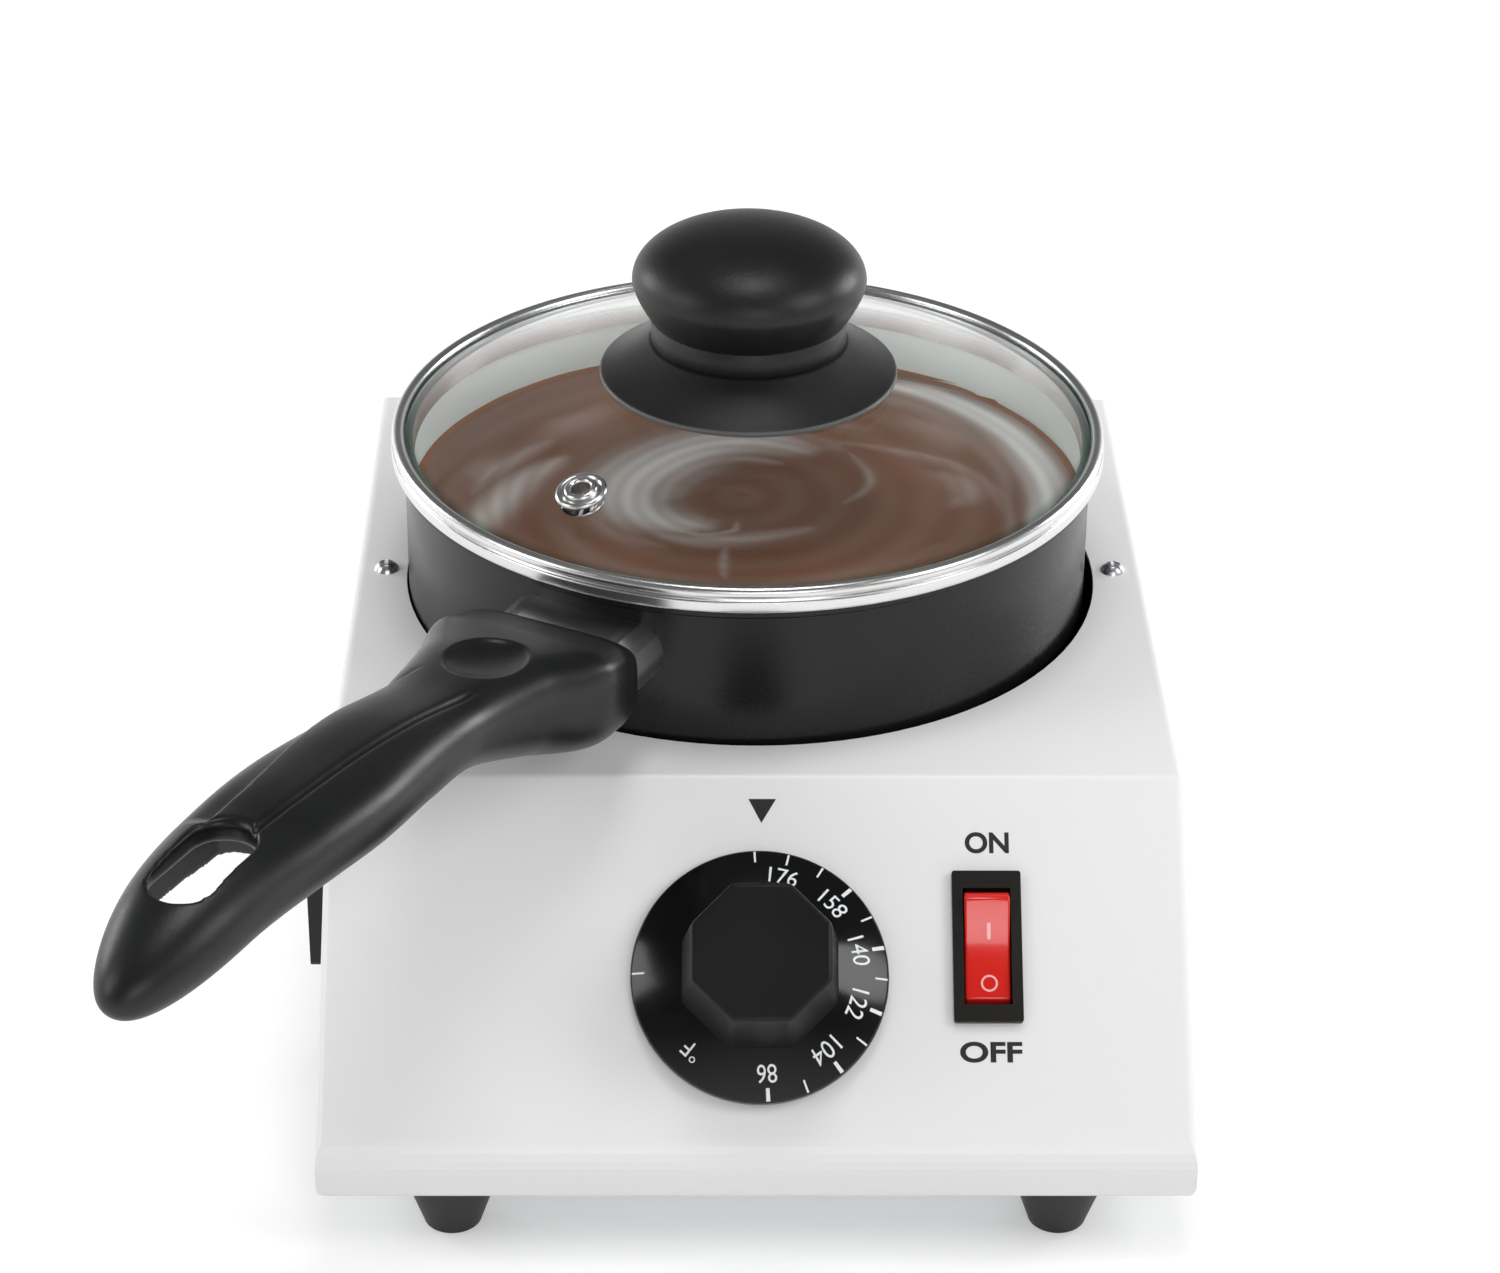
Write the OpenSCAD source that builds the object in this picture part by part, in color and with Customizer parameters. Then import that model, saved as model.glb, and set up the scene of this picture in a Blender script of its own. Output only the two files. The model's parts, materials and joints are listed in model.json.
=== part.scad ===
// Electric chocolate melting pot: a sheet steel case with a heated well, a lift-out pan and a glass lid.
// Millimetres, +Z up. Front is -Y and the pan's axis is upright.

/* [Case] */
// Width of the top plate between the pan's hole and the case's side
side_plate_w = 11.6; // [11:0.2:30]
// Depth of the top plate between the pan's hole and the bend, or the back
end_plate_w = 12.1; // [11:0.1:30]
// Depth that the sloping control panel covers
panel_run = 59.5; // [54:0.5:70]
// Height that the control panel drops
panel_drop = 55; // [50:0.5:66]
// Height of the upright lip below the panel
lip_h = 9.8; // [7:0.2:16]
// Thickness of the case's sheet steel
sheet = 1; // [0.8:0.1:1.4]
// Outside radius of the case's bends
bend_r = 2; // [1.6:0.1:3]

/* [Feet] */
// Height of the rubber feet
foot_h = 14.4; // [11:0.2:20]
// Diameter of a foot where it meets the base
foot_d = 21; // [18:0.5:24]
// Diameter of a foot where it meets the table
foot_tip_d = 12.2; // [11:0.2:16]
// Distance from the case's side to a foot's middle
foot_inset_x = 27; // [16:0.5:40]
// Distance from the case's front or back to a foot's middle
foot_inset_y = 12.5; // [12:0.5:24]

/* [Pan] */
// Outside diameter of the pan's wall
pan_d = 154; // [130:0.5:200]
// Height of the pan from its bottom to its rim
pan_h = 66.6; // [58:0.2:90]
// Depth that the pan stands below the top plate
pan_sink = 34; // [31:0.5:36]
// Thickness of the pan's wall
pan_wall = 1.6; // [1.2:0.1:2.4]
// Thickness of the pan's bottom
pan_floor = 2.5; // [2:0.1:4]
// Overhang of the pan's flared rim beyond its wall
rim_out = 2.1; // [1.8:0.1:3.2]
// Gap all round between the pan and the hole in the top plate
pan_play = 1.4; // [1.1:0.1:1.6]
// Depth of the melted chocolate's surface below the rim
fill_depth = 13.6; // [8:0.2:40]

/* [Handle] */
// Angle of the handle, from straight ahead towards the left
handle_turn = 27.5; // [0:0.5:60]
// Length of the moulded handle
handle_len = 164; // [130:1:190]
// Width of the grip at its middle
grip_w = 32; // [27:0.5:36]
// Thickness of the handle's head, its thickest place
head_t = 23; // [21:0.5:26]
// Rise from the handle's head to its grip
handle_rise = 18.5; // [14:0.5:24]
// Length of the ferrule between the pan and the handle
ferrule_len = 11.6; // [8:0.2:16]

/* [Lid] */
// Overhang of the lid's steel band beyond the pan's rim
lid_out = 0.8; // [0.4:0.1:2]
// Height of the lid's steel band
band_h = 5.7; // [5.3:0.1:7]
// Thickness of the glass
glass_t = 4; // [3:0.1:4.4]
// Height of the glass dome above the band's lower edge, at the middle
dome_h = 20.1; // [17:0.1:30]
// Diameter of the knob's mushroom head
knob_d = 51.8; // [47:0.2:60]
// Height of the mushroom head and its neck
knob_h = 26.3; // [22:0.1:34]
// Diameter of the flared disc under the knob
disc_d = 66.3; // [56:0.2:80]

/* [Controls] */
// Diameter of the dial's skirt
dial_d = 53.2; // [48:0.2:56]
// Height of the dial above the panel
dial_h = 24.8; // [20:0.2:30]
// Width across the flats of the dial's octagonal grip
dial_grip_w = 28; // [24:0.2:32]
// Length of the switch's bezel
bezel_l = 32; // [31:0.2:34]
// Width of the switch's bezel
bezel_w = 14.3; // [13.6:0.1:16]
// Angle that the rocker tips each way
rocker_tip = 9; // [6:0.5:10]

/* [Hidden] */

// Cuts run past the face they open by this much
over = 2;
// Gap between pieces that lie side by side
gap = 0.3;
// Radial clearance of a shaft or pin in its bore
running = 0.05;
// Facets on plain round pieces and on smooth surfaces of revolution
$fn = 64;
// Steps along a rounded corner
corner_steps = 5;

// Places of the case
hole_r = pan_d / 2 + pan_play;
rim_d = pan_d + 2 * rim_out;
lid_d = rim_d + 2 * lid_out;
case_w = 2 * (hole_r + side_plate_w);
top_depth = 2 * (hole_r + end_plate_w);
top_z = foot_h + lip_h + panel_drop;
lip_z = foot_h + lip_h;
top_half = top_depth / 2;
front_y = -top_half - panel_run;
back_y = top_half;
panel_tilt = atan2(panel_drop, panel_run);
panel_len = norm([panel_run, panel_drop]);
case_half = case_w / 2;
case_inner = case_half - sheet;
lip_corner_r = 2.4;
lip_bend_r = 5 * bend_r;
plate_t = 1.2;
plate_z = foot_h;
plate_top = plate_z + plate_t;
flange_z = plate_top;
flange_top = flange_z + sheet;
flange_w = 7;
plate_inset = 1;
vent_l = 26;
vent_w = 3;
vent_pitch = 9;
vent_rows = 4;
vent_y = 34;

// Side view of the case, from the back bottom corner round to the front, then the radius of each corner
side_view = [[back_y, foot_h], [back_y, top_z], [-top_half, top_z], [front_y, lip_z], [front_y, foot_h]];
side_radii = [sheet, bend_r, bend_r, lip_bend_r, sheet];
front_view = [[-case_half, foot_h], [case_half, foot_h], [case_half, top_z], [-case_half, top_z]];
front_radii = [lip_corner_r, lip_corner_r, bend_r, bend_r];
slope_l = 2 * (top_depth + panel_len);

// Feet
foot_x = case_half - foot_inset_x;
foot_ys = [front_y + foot_inset_y, back_y - foot_inset_y];
foot_bore_d = 4.4;
foot_recess_d = 8.6;
foot_floor_t = 4;
foot_edge_r = 0.7;
m4_d = 4;
m4_head_d = 8;
m4_head_h = 2.6;
m4_nut_w = 7;
m4_nut_h = 3.2;
foot_shank_past = 1.6;
m3_d = 3;
m3_head_d = 5.9;
m3_head_h = 2.1;
m3_nut_w = 5.5;
m3_nut_h = 2.4;
m3_hole_d = 3.4;
cross_l = 3.2;
cross_w = 0.9;
cross_depth = 1.1;
base_screw_l = 6;
base_screw_inset = 4.2;
base_screw_tap_d = 2.7;

// Well and heater
pan_r = pan_d / 2;
well_t = 1;
well_out_r = hole_r + well_t;
well_floor_top = top_z - pan_sink;
well_floor_bottom = well_floor_top - well_t;
well_corner_r = 7;
ear_reach = 8.3;
ear_w = 13;
well_screw_out = 4.75;
well_screw_x = hole_r + well_screw_out;
well_screw_l = 9;
heater_inset = 24.4;
heater_r = well_out_r - heater_inset;
heater_t = 4;
heater_z = well_floor_bottom - heater_t;
insulation_t = 5.5;
insulation_z = heater_z - insulation_t;
clamp_inset = 5;
clamp_r = heater_r - clamp_inset;
clamp_t = 1.5;
clamp_z = insulation_z - clamp_t;
stud_d = 5;
stud_past = 5;
heater_nut_w = 8;
heater_nut_h = 3.8;
heater_tab_x = 9;
heater_tab_w = 6.3;
heater_tab_t = 0.8;
heater_tab_l = 10;
bead_d = 7;
bead_l = 4;

// Sensor bulb against the well's wall
bulb_d = 6;
bulb_l = 50;
bulb_y = -(well_out_r + bulb_d / 2 + running);
bulb_drop = 20.8;
bulb_z = top_z - bulb_drop;
clip_w = 8;
clip_t = 0.8;
clip_leg = 6;
capillary_d = 1.8;
capillary_bend = 5;

// Places on the control panel: sideways from the middle, and down the slope from the top bend
dial_x = 0.6;
dial_down = 43.6;
switch_x = 47.7;
switch_down = 36.9;

// Thermostat
stat_w = 36;
stat_l = 34;
stat_depth = 21;
stat_gap = 1;
bush_d = 9;
bush_hole_d = 9.6;
shaft_d = 6;
shaft_flat = 1.5;
shaft_top = 13.5;
stat_screw_x = 14;
stat_screw_l = 7;
stat_tab_x = 9;
stat_tab_w = 6.3;
stat_tab_t = 0.8;
stat_tab_l = 8;

// Dial
dial_r = dial_d / 2;
dial_lift = 1.2;
dial_rim_h = 1.6;
dial_wall = 2;
dial_draft = 0.105;
grip_base = 6.6;
insert_d = 10;
insert_h = 11;
insert_z = 3.4;
hub_d = 14;

// Switch
bezel_t = 1.7;
bezel_end = 3.7;
bezel_side = 2.2;
body_end = 1.5;
body_side = 1.45;
window_l = bezel_l - 2 * bezel_end;
window_w = bezel_w - 2 * bezel_side;
body_l = window_l + 2 * body_end;
body_w = window_w + 2 * body_side;
body_depth = 20;
body_floor = 2;
cutout_gap = 0.2;
pivot_drop = 2.4;
pivot_d = 2.4;
pivot_l = 1;
rocker_gap = 0.25;
rocker_r = window_l / 2 - rocker_gap;
rocker_rise = 4.6;
rocker_dish = 1.1;
rocker_nose_r = 1.6;
rocker_face_share = 0.93;
rocker_skirt = 4.2;
stem_w = 3;
stem_l = 9.4;
lamp_d = 4;
lamp_l = 11;
contact_l = 13;
contact_t = 1;
contact_w = 5;
contact_drop = 11.2;
contact_ratio = 0.8;
contact_pin_d = 1.7;
contact_pin_l = 1;
fork_t = 2.6;
blade_w = 4.8;
blade_t = 0.8;
blade_l = 8;
blade_pitch = 9.4;
blade_in = 1.4;
latch_l = 5;
latch_t = 0.9;

// Mains entry at the back, and the terminal block behind the heater
inlet_inset = 40;
inlet_up = 17;
inlet_x = case_half - inlet_inset;
inlet_z = foot_h + inlet_up;
bush_in_d = 7;
inlet_d = 12;
inlet_lip_d = 17;
inlet_lip_t = 2;
inlet_l = 14;
block_w = 27;
block_d = 16;
block_h = 14;
block_inset = 36;
block_y = back_y - block_inset;
block_bore_d = 3;
block_pitch = 8.4;
earth_aside = 34;
earth_x = inlet_x - earth_aside;
earth_inset = 30;
earth_y = back_y - earth_inset;
earth_screw_l = 9;
wire_d = 2.2;
wire_sides = 8;
wire_tail = 3;
wire_up = 3;
wire_in = 3;
wire_out = 8;

// Side clip on the left wall
clip_back = 68;
clip_up = 14.4;
clip_y = front_y + clip_back;
clip_bottom = foot_h + clip_up;
clip_h = 30;
clip_depth = 12;
clip_out = 5.5;
clip_corner_r = 2;
clip_stud_d = 4;

// Pan, bracket and ferrule
pan_shift = -0.9;
rim_z = well_floor_top + pan_h;
pan_corner_r = 6;
rim_t = 1.1;
rim_flare = 2.6;
fill_gap = 0.1;
fill_z = rim_z - fill_depth;
ferrule_w = 36;
ferrule_h = 14.6;
ferrule_r = 6.9;
ferrule_t = 1.2;
ferrule_drop = 5.2;
ferrule_top = rim_z - ferrule_drop;
ferrule_bottom = ferrule_top - ferrule_h;
ferrule_end = sqrt(pan_r * pan_r - ferrule_w * ferrule_w / 4) + ferrule_len;
bracket_w = 16;
bracket_t = 3;
bracket_z = ferrule_top - ferrule_h / 2 - bracket_t / 2;
bracket_reach = 28;
pad_w = 24;
pad_t = 1.5;
pad_h = 8;
handle_screw_in = 19;
handle_screw_cover = 2.2;
handle_screw_seat = bracket_z - handle_screw_cover;

// Handle: stations along its length, as shares of the length
station_shares = [0, 0.0275, 0.064, 0.119, 0.205, 0.327, 0.449, 0.571, 0.693, 0.828, 1];
// Half widths, as shares of the grip's width
width_shares = [0.575, 0.612, 0.67, 0.675, 0.519, 0.414, 0.456, 0.5, 0.478, 0.416, 0.306];
// Half heights, as shares of the head's thickness
height_shares = [0.382, 0.457, 0.465, 0.504, 0.474, 0.383, 0.404, 0.404, 0.396, 0.394, 0.35];
// Height of the middle line, as shares of the rise
rise_shares = [0, 0.054, 0.151, 0.249, 0.454, 0.681, 0.843, 0.93, 1, 0.989, 0.64];
// Roundness of the section, from nearly square at nought to round at one
round_shares = [0.36, 0.36, 0.38, 0.44, 0.6, 0.78, 0.8, 0.8, 0.82, 0.9, 1];
head_drop = 1;
head_mid = (ferrule_top + ferrule_bottom) / 2 - head_drop;
tip_share = 0.169;
tip_power = 2.3;
handle_rings = 20;
tip_rings = 8;
handle_sides = 28;
slot_from_share = 0.735;
slot_to_share = 0.887;
slot_w = 13;

// Lid
lid_r = lid_d / 2;
band_z = rim_z;
band_w = 2.8;
band_in_r = lid_r - band_w;
band_t = 0.6;
band_crown_r = 1.7;
band_foot_r = 0.8;
glass_gap = 0.1;
glass_r = lid_r - band_t - glass_gap;
glass_seat = band_z + band_t;
glass_rim_w = 3.4;
locator_gap = 0.7;
locator_r = pan_r - pan_wall - locator_gap;
locator_h = 3.4;
dome_top = band_z + dome_h;
dome_edge_z = glass_seat + glass_t;
dome_r = (band_in_r * band_in_r + pow(dome_top - dome_edge_z, 2)) / (2 * (dome_top - dome_edge_z));
vent_turn = -128;
vent_inset = 21.1;
vent_at = lid_r - vent_inset;
vent_lip_d = 11.4;
vent_neck_d = 7.6;
vent_bore_d = 4.4;
vent_lip_t = 0.9;
vent_dome_t = 1.3;
knob_hole_d = 7;

// Knob
disc_r = disc_d / 2;
disc_seat_gap = 0.25;
disc_edge_t = 1.1;
disc_top_inset = 4;
disc_top_r = knob_d / 2 - disc_top_inset;
disc_h = 8.4;
disc_wall = 2;
disc_edge_z = dome_top - disc_r * disc_r / (2 * dome_r) + disc_seat_gap;
neck_z = disc_edge_z + disc_h;
disc_hub_r = 9;
neck_inset = 4.1;
neck_r = knob_d / 2 - neck_inset;
neck_h = 5.2;
groove_d = 0.5;
underside_inset = 3.4;
underside_r = knob_d / 2 - underside_inset;
underside_z = 6;
widest_z = 13.2;
insert_r = 4;
insert_len = 14;
screw_d = 5;
knob_screw_l = 22;
knob_screw_head_d = 9.6;
knob_screw_head_h = 2.6;
washer_d = 16;
washer_t = 1;
gasket_d = 18;
gasket_t = 1.6;

white_paint = "whitesmoke";
black_plastic = "#1b1b1d";
bright_steel = "#c9ccd0";
zinc = "#a9adb2";
brass = "#c8a24a";

// Points of an arc that rounds the corner at p between the corners before and after it
function corner_arc(before, p, after, r) =
    let (u = (before - p) / norm(before - p), v = (after - p) / norm(after - p),
        half = acos(u * v) / 2, reach = r / tan(half), middle = p + (u + v) / norm(u + v) * r / sin(half),
        start = p + u * reach - middle, end = p + v * reach - middle,
        from = atan2(start[1], start[0]), turn = atan2(end[1], end[0]) - from,
        sweep = turn > 180 ? turn - 360 : turn < -180 ? turn + 360 : turn)
    [for (i = [0 : corner_steps]) middle + r * [cos(from + sweep * i / corner_steps),
        sin(from + sweep * i / corner_steps)]];

// A polygon with every corner rounded to its own radius
function rounded(points, radii) = let (n = len(points))
    [for (i = [0 : n - 1]) each corner_arc(points[(i + n - 1) % n], points[i], points[(i + 1) % n], radii[i])];

function unit(v) = v / norm(v);
function left_of(v) = [-v[1], v[0]];

// A convex polygon, listed anticlockwise, with every edge moved in by d
function moved_in(points, d) = let (n = len(points))
    [for (i = [0 : n - 1]) let (a = left_of(unit(points[i] - points[(i + n - 1) % n])),
        b = left_of(unit(points[(i + 1) % n] - points[i]))) points[i] + d * (a + b) / (1 + a * b)];

function less(radii, d) = [for (r = radii) max(r - d, d / 4)];

// Smooth curve through ys at the places xs
function slope_at(xs, ys, i) = let (n = len(xs), a = max(i - 1, 0), b = min(i + 1, n - 1))
    (ys[b] - ys[a]) / (xs[b] - xs[a]);
function span_of(xs, x, i = 0) = i >= len(xs) - 2 || x < xs[i + 1] ? i : span_of(xs, x, i + 1);
function smooth(xs, ys, x) =
    let (i = span_of(xs, x), w = xs[i + 1] - xs[i], t = (x - xs[i]) / w,
        m0 = slope_at(xs, ys, i) * w, m1 = slope_at(xs, ys, i + 1) * w)
    (2 * pow(t, 3) - 3 * t * t + 1) * ys[i] + (pow(t, 3) - 2 * t * t + t) * m0
        + (3 * t * t - 2 * pow(t, 3)) * ys[i + 1] + (pow(t, 3) - t * t) * m1;

// Points of a smooth line through hand-set points, a few to each stretch
function midway(p, i, t) = let (n = len(p), a = p[max(i - 1, 0)], b = p[i], c = p[i + 1], d = p[min(i + 2, n - 1)])
    0.5 * (2 * b + (c - a) * t + (2 * a - 5 * b + 4 * c - d) * t * t + (3 * b - a - 3 * c + d) * pow(t, 3));
function route(p, steps) = concat([for (i = [0 : len(p) - 2], k = [0 : steps - 1]) midway(p, i, k / steps)],
    [p[len(p) - 1]]);

function square_sign(c, power) = sign(c) * pow(abs(c), power);

// Skin of rings that all have the same number of points, closed at both ends
module skin(rings) {
    n = len(rings[0]);
    m = len(rings);
    ends = [for (k = [0, m - 1]) [for (i = [0 : 2]) let (s = [for (p = rings[k]) p[i]]) sum(s) / n]];
    points = concat([for (ring = rings) each ring], ends);
    sides = [for (k = [0 : m - 2], i = [0 : n - 1]) each let (j = (i + 1) % n, a = k * n, b = (k + 1) * n)
        [[a + i, b + j, a + j], [a + i, b + i, b + j]]];
    first = [for (i = [0 : n - 1]) [m * n, i, (i + 1) % n]];
    last = [for (i = [0 : n - 1]) [m * n + 1, (m - 1) * n + (i + 1) % n, (m - 1) * n + i]];
    polyhedron(points = points, faces = concat(sides, first, last), convexity = 8);
}
function sum(v, i = 0) = i == len(v) - 1 ? v[i] : v[i] + sum(v, i + 1);

// Tube of diameter d swept along points, with its ends square to the line
module tube(points, d, sides) {
    m = len(points);
    ways = [for (i = [0 : m - 1]) unit(points[min(i + 1, m - 1)] - points[max(i - 1, 0)])];
    skin([for (i = [0 : m - 1]) let (w = ways[i], ref = abs(w[2]) > 0.9 ? [1, 0, 0] : [0, 0, 1],
        u = unit(cross(ref, w)), v = cross(w, u))
        [for (k = [0 : sides - 1]) points[i] + d / 2 * (cos(360 * k / sides) * u + sin(360 * k / sides) * v)]]);
}

// Places children on the control panel, with +Z out of it and +Y up the slope
module on_panel(x, down) {
    translate([x, -top_half - down * cos(panel_tilt), top_z - down * sin(panel_tilt)])
        rotate([panel_tilt, 0, 0]) children();
}
function panel_point(x, down, p) =
    [x + p[0], -top_half - (down - p[1]) * cos(panel_tilt) - p[2] * sin(panel_tilt),
        top_z - (down - p[1]) * sin(panel_tilt) + p[2] * cos(panel_tilt)];

// Places children on the pan's axis, with +X along the handle
module along_handle() {
    translate([pan_shift, 0, 0]) rotate([0, 0, -90 - handle_turn]) children();
}

module on_pan_axis() {
    translate([pan_shift, 0, 0]) children();
}

module rounded_plate(w, l, t, r) {
    linear_extrude(t) union() {
        square([w - 2 * r, l], center = true);
        square([w, l - 2 * r], center = true);
        for (x = [-1, 1], y = [-1, 1]) translate([x * (w / 2 - r), y * (l / 2 - r)]) circle(r);
    }
}

module hexagon_nut(across, h, bore) {
    difference() {
        cylinder(d = across / cos(30), h = h, $fn = 6);
        translate([0, 0, -over]) cylinder(d = bore, h = h + 2 * over);
    }
}

// Pan head screw with a cross recess: its head's seat at zero, its shank running down
module cross_screw(d, head_d, head_h, l) {
    dome_r = (head_d * head_d / 4 + head_h * head_h) / (2 * head_h);
    difference() {
        union() {
            translate([0, 0, -l]) cylinder(d = d, h = l);
            intersection() {
                translate([0, 0, head_h - dome_r]) sphere(dome_r);
                cylinder(d = head_d, h = head_h);
            }
        }
        for (turn = [0, 90]) rotate([0, 0, turn])
            translate([-cross_l / 2, -cross_w / 2, head_h - cross_depth]) cube([cross_l, cross_w, over]);
    }
}

// Solid of the case's outer shape with every face moved in by d
module case_block(d) {
    intersection() {
        translate([-case_half + d, 0, 0]) rotate([90, 0, 90]) linear_extrude(case_w - 2 * d)
            polygon(rounded(moved_in(side_view, d), less(side_radii, d)));
        translate([0, back_y + over, 0]) rotate([90, 0, 0]) linear_extrude(back_y - front_y + 2 * over)
            polygon(rounded(moved_in(front_view, d), less(front_radii, d)));
        on_panel(0, panel_len / 2) rotate([90, 0, 0]) translate([0, 0, -slope_l / 2]) linear_extrude(slope_l)
            polygon(rounded([[-case_half + d, -slope_l], [case_half - d, -slope_l], [case_half - d, -d],
                [-case_half + d, -d]], less([bend_r, bend_r, bend_r, bend_r], d)));
    }
}

module base_screw_places() {
    x = case_inner - base_screw_inset;
    for (sx = [-1, 1], y = [front_y + panel_run / 2, 0, back_y - 4 * base_screw_inset])
        translate([sx * x, y, 0]) children();
}

module case_shell() color(white_paint) difference() {
    case_block(0);
    intersection() {
        case_block(sheet);
        translate([-case_w, front_y - over, flange_top]) cube([2 * case_w, 4 * top_depth, 2 * top_z]);
    }
    translate([-case_inner, front_y + sheet, plate_z - over])
        cube([2 * case_inner, back_y - front_y - 2 * sheet, flange_z - plate_z + over]);
    translate([-case_inner + flange_w, front_y + sheet + flange_w, flange_z - over])
        cube([2 * (case_inner - flange_w), back_y - front_y - 2 * (sheet + flange_w), sheet + 2 * over]);
    cylinder(r = hole_r, h = 2 * top_z);
    for (x = [-1, 1]) translate([x * well_screw_x, 0, top_z - over]) cylinder(d = m3_hole_d, h = 2 * over);
    on_panel(dial_x, dial_down) {
        translate([0, 0, -over]) cylinder(d = bush_hole_d, h = 2 * over);
        for (x = [-1, 1]) translate([x * stat_screw_x, 0, -over]) cylinder(d = foot_bore_d, h = 2 * over);
    }
    on_panel(switch_x, switch_down)
        translate([-body_w / 2 - cutout_gap, -body_l / 2 - cutout_gap, -over])
            cube([body_w + 2 * cutout_gap, body_l + 2 * cutout_gap, 2 * over]);
    translate([inlet_x, back_y + over, inlet_z]) rotate([90, 0, 0]) cylinder(d = inlet_d + 2 * running, h = sheet + 2 * over);
    translate([-case_half - over, clip_y, clip_bottom + clip_h / 2]) rotate([0, 90, 0])
        cylinder(d = clip_stud_d + 2 * running, h = sheet + 2 * over);
    base_screw_places() translate([0, 0, flange_z - over]) cylinder(d = base_screw_tap_d, h = sheet + 2 * over);
}

module base_plate() color(zinc) difference() {
    depth = back_y - front_y - 2 * sheet;
    translate([0, (front_y + back_y) / 2, plate_z])
        rounded_plate(2 * (case_inner - plate_inset), depth - 2 * plate_inset, plate_t, bend_r);
    for (x = [-1, 1], y = foot_ys) translate([x * foot_x, y, plate_z - over]) cylinder(d = foot_bore_d, h = 2 * over + plate_t);
    base_screw_places() translate([0, 0, plate_z - over]) cylinder(d = m3_hole_d, h = 2 * over + plate_t);
    for (side = [-1, 1], k = [0 : vent_rows - 1])
        translate([side * vent_y - vent_l / 2, -vent_y - k * vent_pitch, plate_z - over])
            cube([vent_l, vent_w, 2 * over + plate_t]);
    translate([inlet_x, block_y, plate_z - over]) cylinder(d = m3_hole_d, h = 2 * over + plate_t);
    translate([earth_x, earth_y, plate_z - over]) cylinder(d = foot_bore_d, h = 2 * over + plate_t);
}

module base_screws() color(bright_steel) base_screw_places()
    translate([0, 0, plate_z]) rotate([180, 0, 0]) cross_screw(base_screw_tap_d, m3_head_d, m3_head_h, base_screw_l);

module foot(side, y) color(black_plastic) translate([side * foot_x, y, 0]) difference() {
    rotate_extrude() polygon([[0, 0], [foot_tip_d / 2 - foot_edge_r, 0],
        for (i = [1 : corner_steps]) [foot_tip_d / 2 - foot_edge_r + foot_edge_r * sin(90 * i / corner_steps),
            foot_edge_r * (1 - cos(90 * i / corner_steps))],
        [foot_d / 2, foot_h - foot_edge_r], [foot_d / 2, foot_h], [0, foot_h]]);
    translate([0, 0, -over]) cylinder(d = foot_recess_d, h = foot_h - foot_floor_t + over);
    cylinder(d = foot_bore_d, h = foot_h + over);
}
module foot_front_left() foot(-1, foot_ys[0]);
module foot_front_right() foot(1, foot_ys[0]);
module foot_back_left() foot(-1, foot_ys[1]);
module foot_back_right() foot(1, foot_ys[1]);

module foot_screws() color(bright_steel) for (x = [-1, 1], y = foot_ys)
    translate([x * foot_x, y, foot_h - foot_floor_t]) rotate([180, 0, 0])
        cross_screw(m4_d, m4_head_d, m4_head_h, foot_floor_t + plate_t + m4_nut_h + foot_shank_past);

module foot_nuts() color(bright_steel) for (x = [-1, 1], y = foot_ys)
    translate([x * foot_x, y, plate_top]) hexagon_nut(m4_nut_w, m4_nut_h, m4_d);

module side_clip() color(black_plastic) translate([-case_half, clip_y, clip_bottom]) {
    translate([0, 0, clip_h / 2]) rotate([0, -90, 0]) rounded_plate(clip_h, clip_depth, clip_out, clip_corner_r);
    translate([0, 0, clip_h / 2]) rotate([0, 90, 0]) cylinder(d = clip_stud_d, h = sheet);
}

module well() color("dimgray") difference() {
    union() {
        translate([0, 0, well_floor_bottom]) rotate_extrude() polygon([[0, 0], [well_out_r - well_corner_r, 0],
            for (i = [1 : corner_steps]) [well_out_r - well_corner_r + well_corner_r * sin(90 * i / corner_steps),
                well_corner_r * (1 - cos(90 * i / corner_steps))],
            [well_out_r, top_z - sheet - well_floor_bottom], [hole_r, top_z - sheet - well_floor_bottom],
            for (i = [corner_steps : -1 : 0]) [well_out_r - well_corner_r
                + (well_corner_r - well_t) * sin(90 * i / corner_steps),
                well_corner_r - (well_corner_r - well_t) * cos(90 * i / corner_steps)],
            [0, well_t]]);
        difference() {
            translate([-hole_r - ear_reach, -ear_w / 2, top_z - sheet - well_t])
                cube([2 * (hole_r + ear_reach), ear_w, well_t]);
            translate([0, 0, well_floor_bottom]) cylinder(r = hole_r + well_t / 2, h = top_z);
        }
        translate([0, 0, clamp_z - stud_past - heater_nut_h]) cylinder(d = stud_d, h = well_floor_top - clamp_z
            + stud_past + heater_nut_h - well_t / 2);
    }
    for (x = [-1, 1]) translate([x * well_screw_x, 0, well_floor_bottom]) cylinder(d = m3_hole_d, h = top_z);
}

module well_screws() color(bright_steel) for (x = [-1, 1])
    translate([x * well_screw_x, 0, top_z]) cross_screw(m3_d, m3_head_d, m3_head_h, well_screw_l);

module well_nuts() color(bright_steel) for (x = [-1, 1])
    translate([x * well_screw_x, 0, top_z - sheet - well_t - m3_nut_h]) hexagon_nut(m3_nut_w, m3_nut_h, m3_d);

module heater_disc() color("silver") translate([0, 0, heater_z]) difference() {
    cylinder(r = heater_r, h = heater_t);
    translate([0, 0, -over]) cylinder(d = stud_d + 2 * gap, h = heater_t + 2 * over);
}

module heater_terminals() color(bright_steel) for (x = [-1, 1])
    translate([x * heater_tab_x, 0, heater_z + heater_t / 2]) {
        difference() {
            translate([0, -heater_r - bead_l + over, 0]) rotate([-90, 0, 0])
                translate([0, 0, -over]) cylinder(d = heater_t - gap, h = bead_l);
            translate([-x * heater_tab_x, 0, -heater_t]) cylinder(r = heater_r, h = 2 * heater_t);
        }
        translate([-heater_tab_w / 2, -heater_r - bead_l - heater_tab_l, -heater_tab_t / 2])
            cube([heater_tab_w, heater_tab_l, heater_tab_t]);
    }

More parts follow.
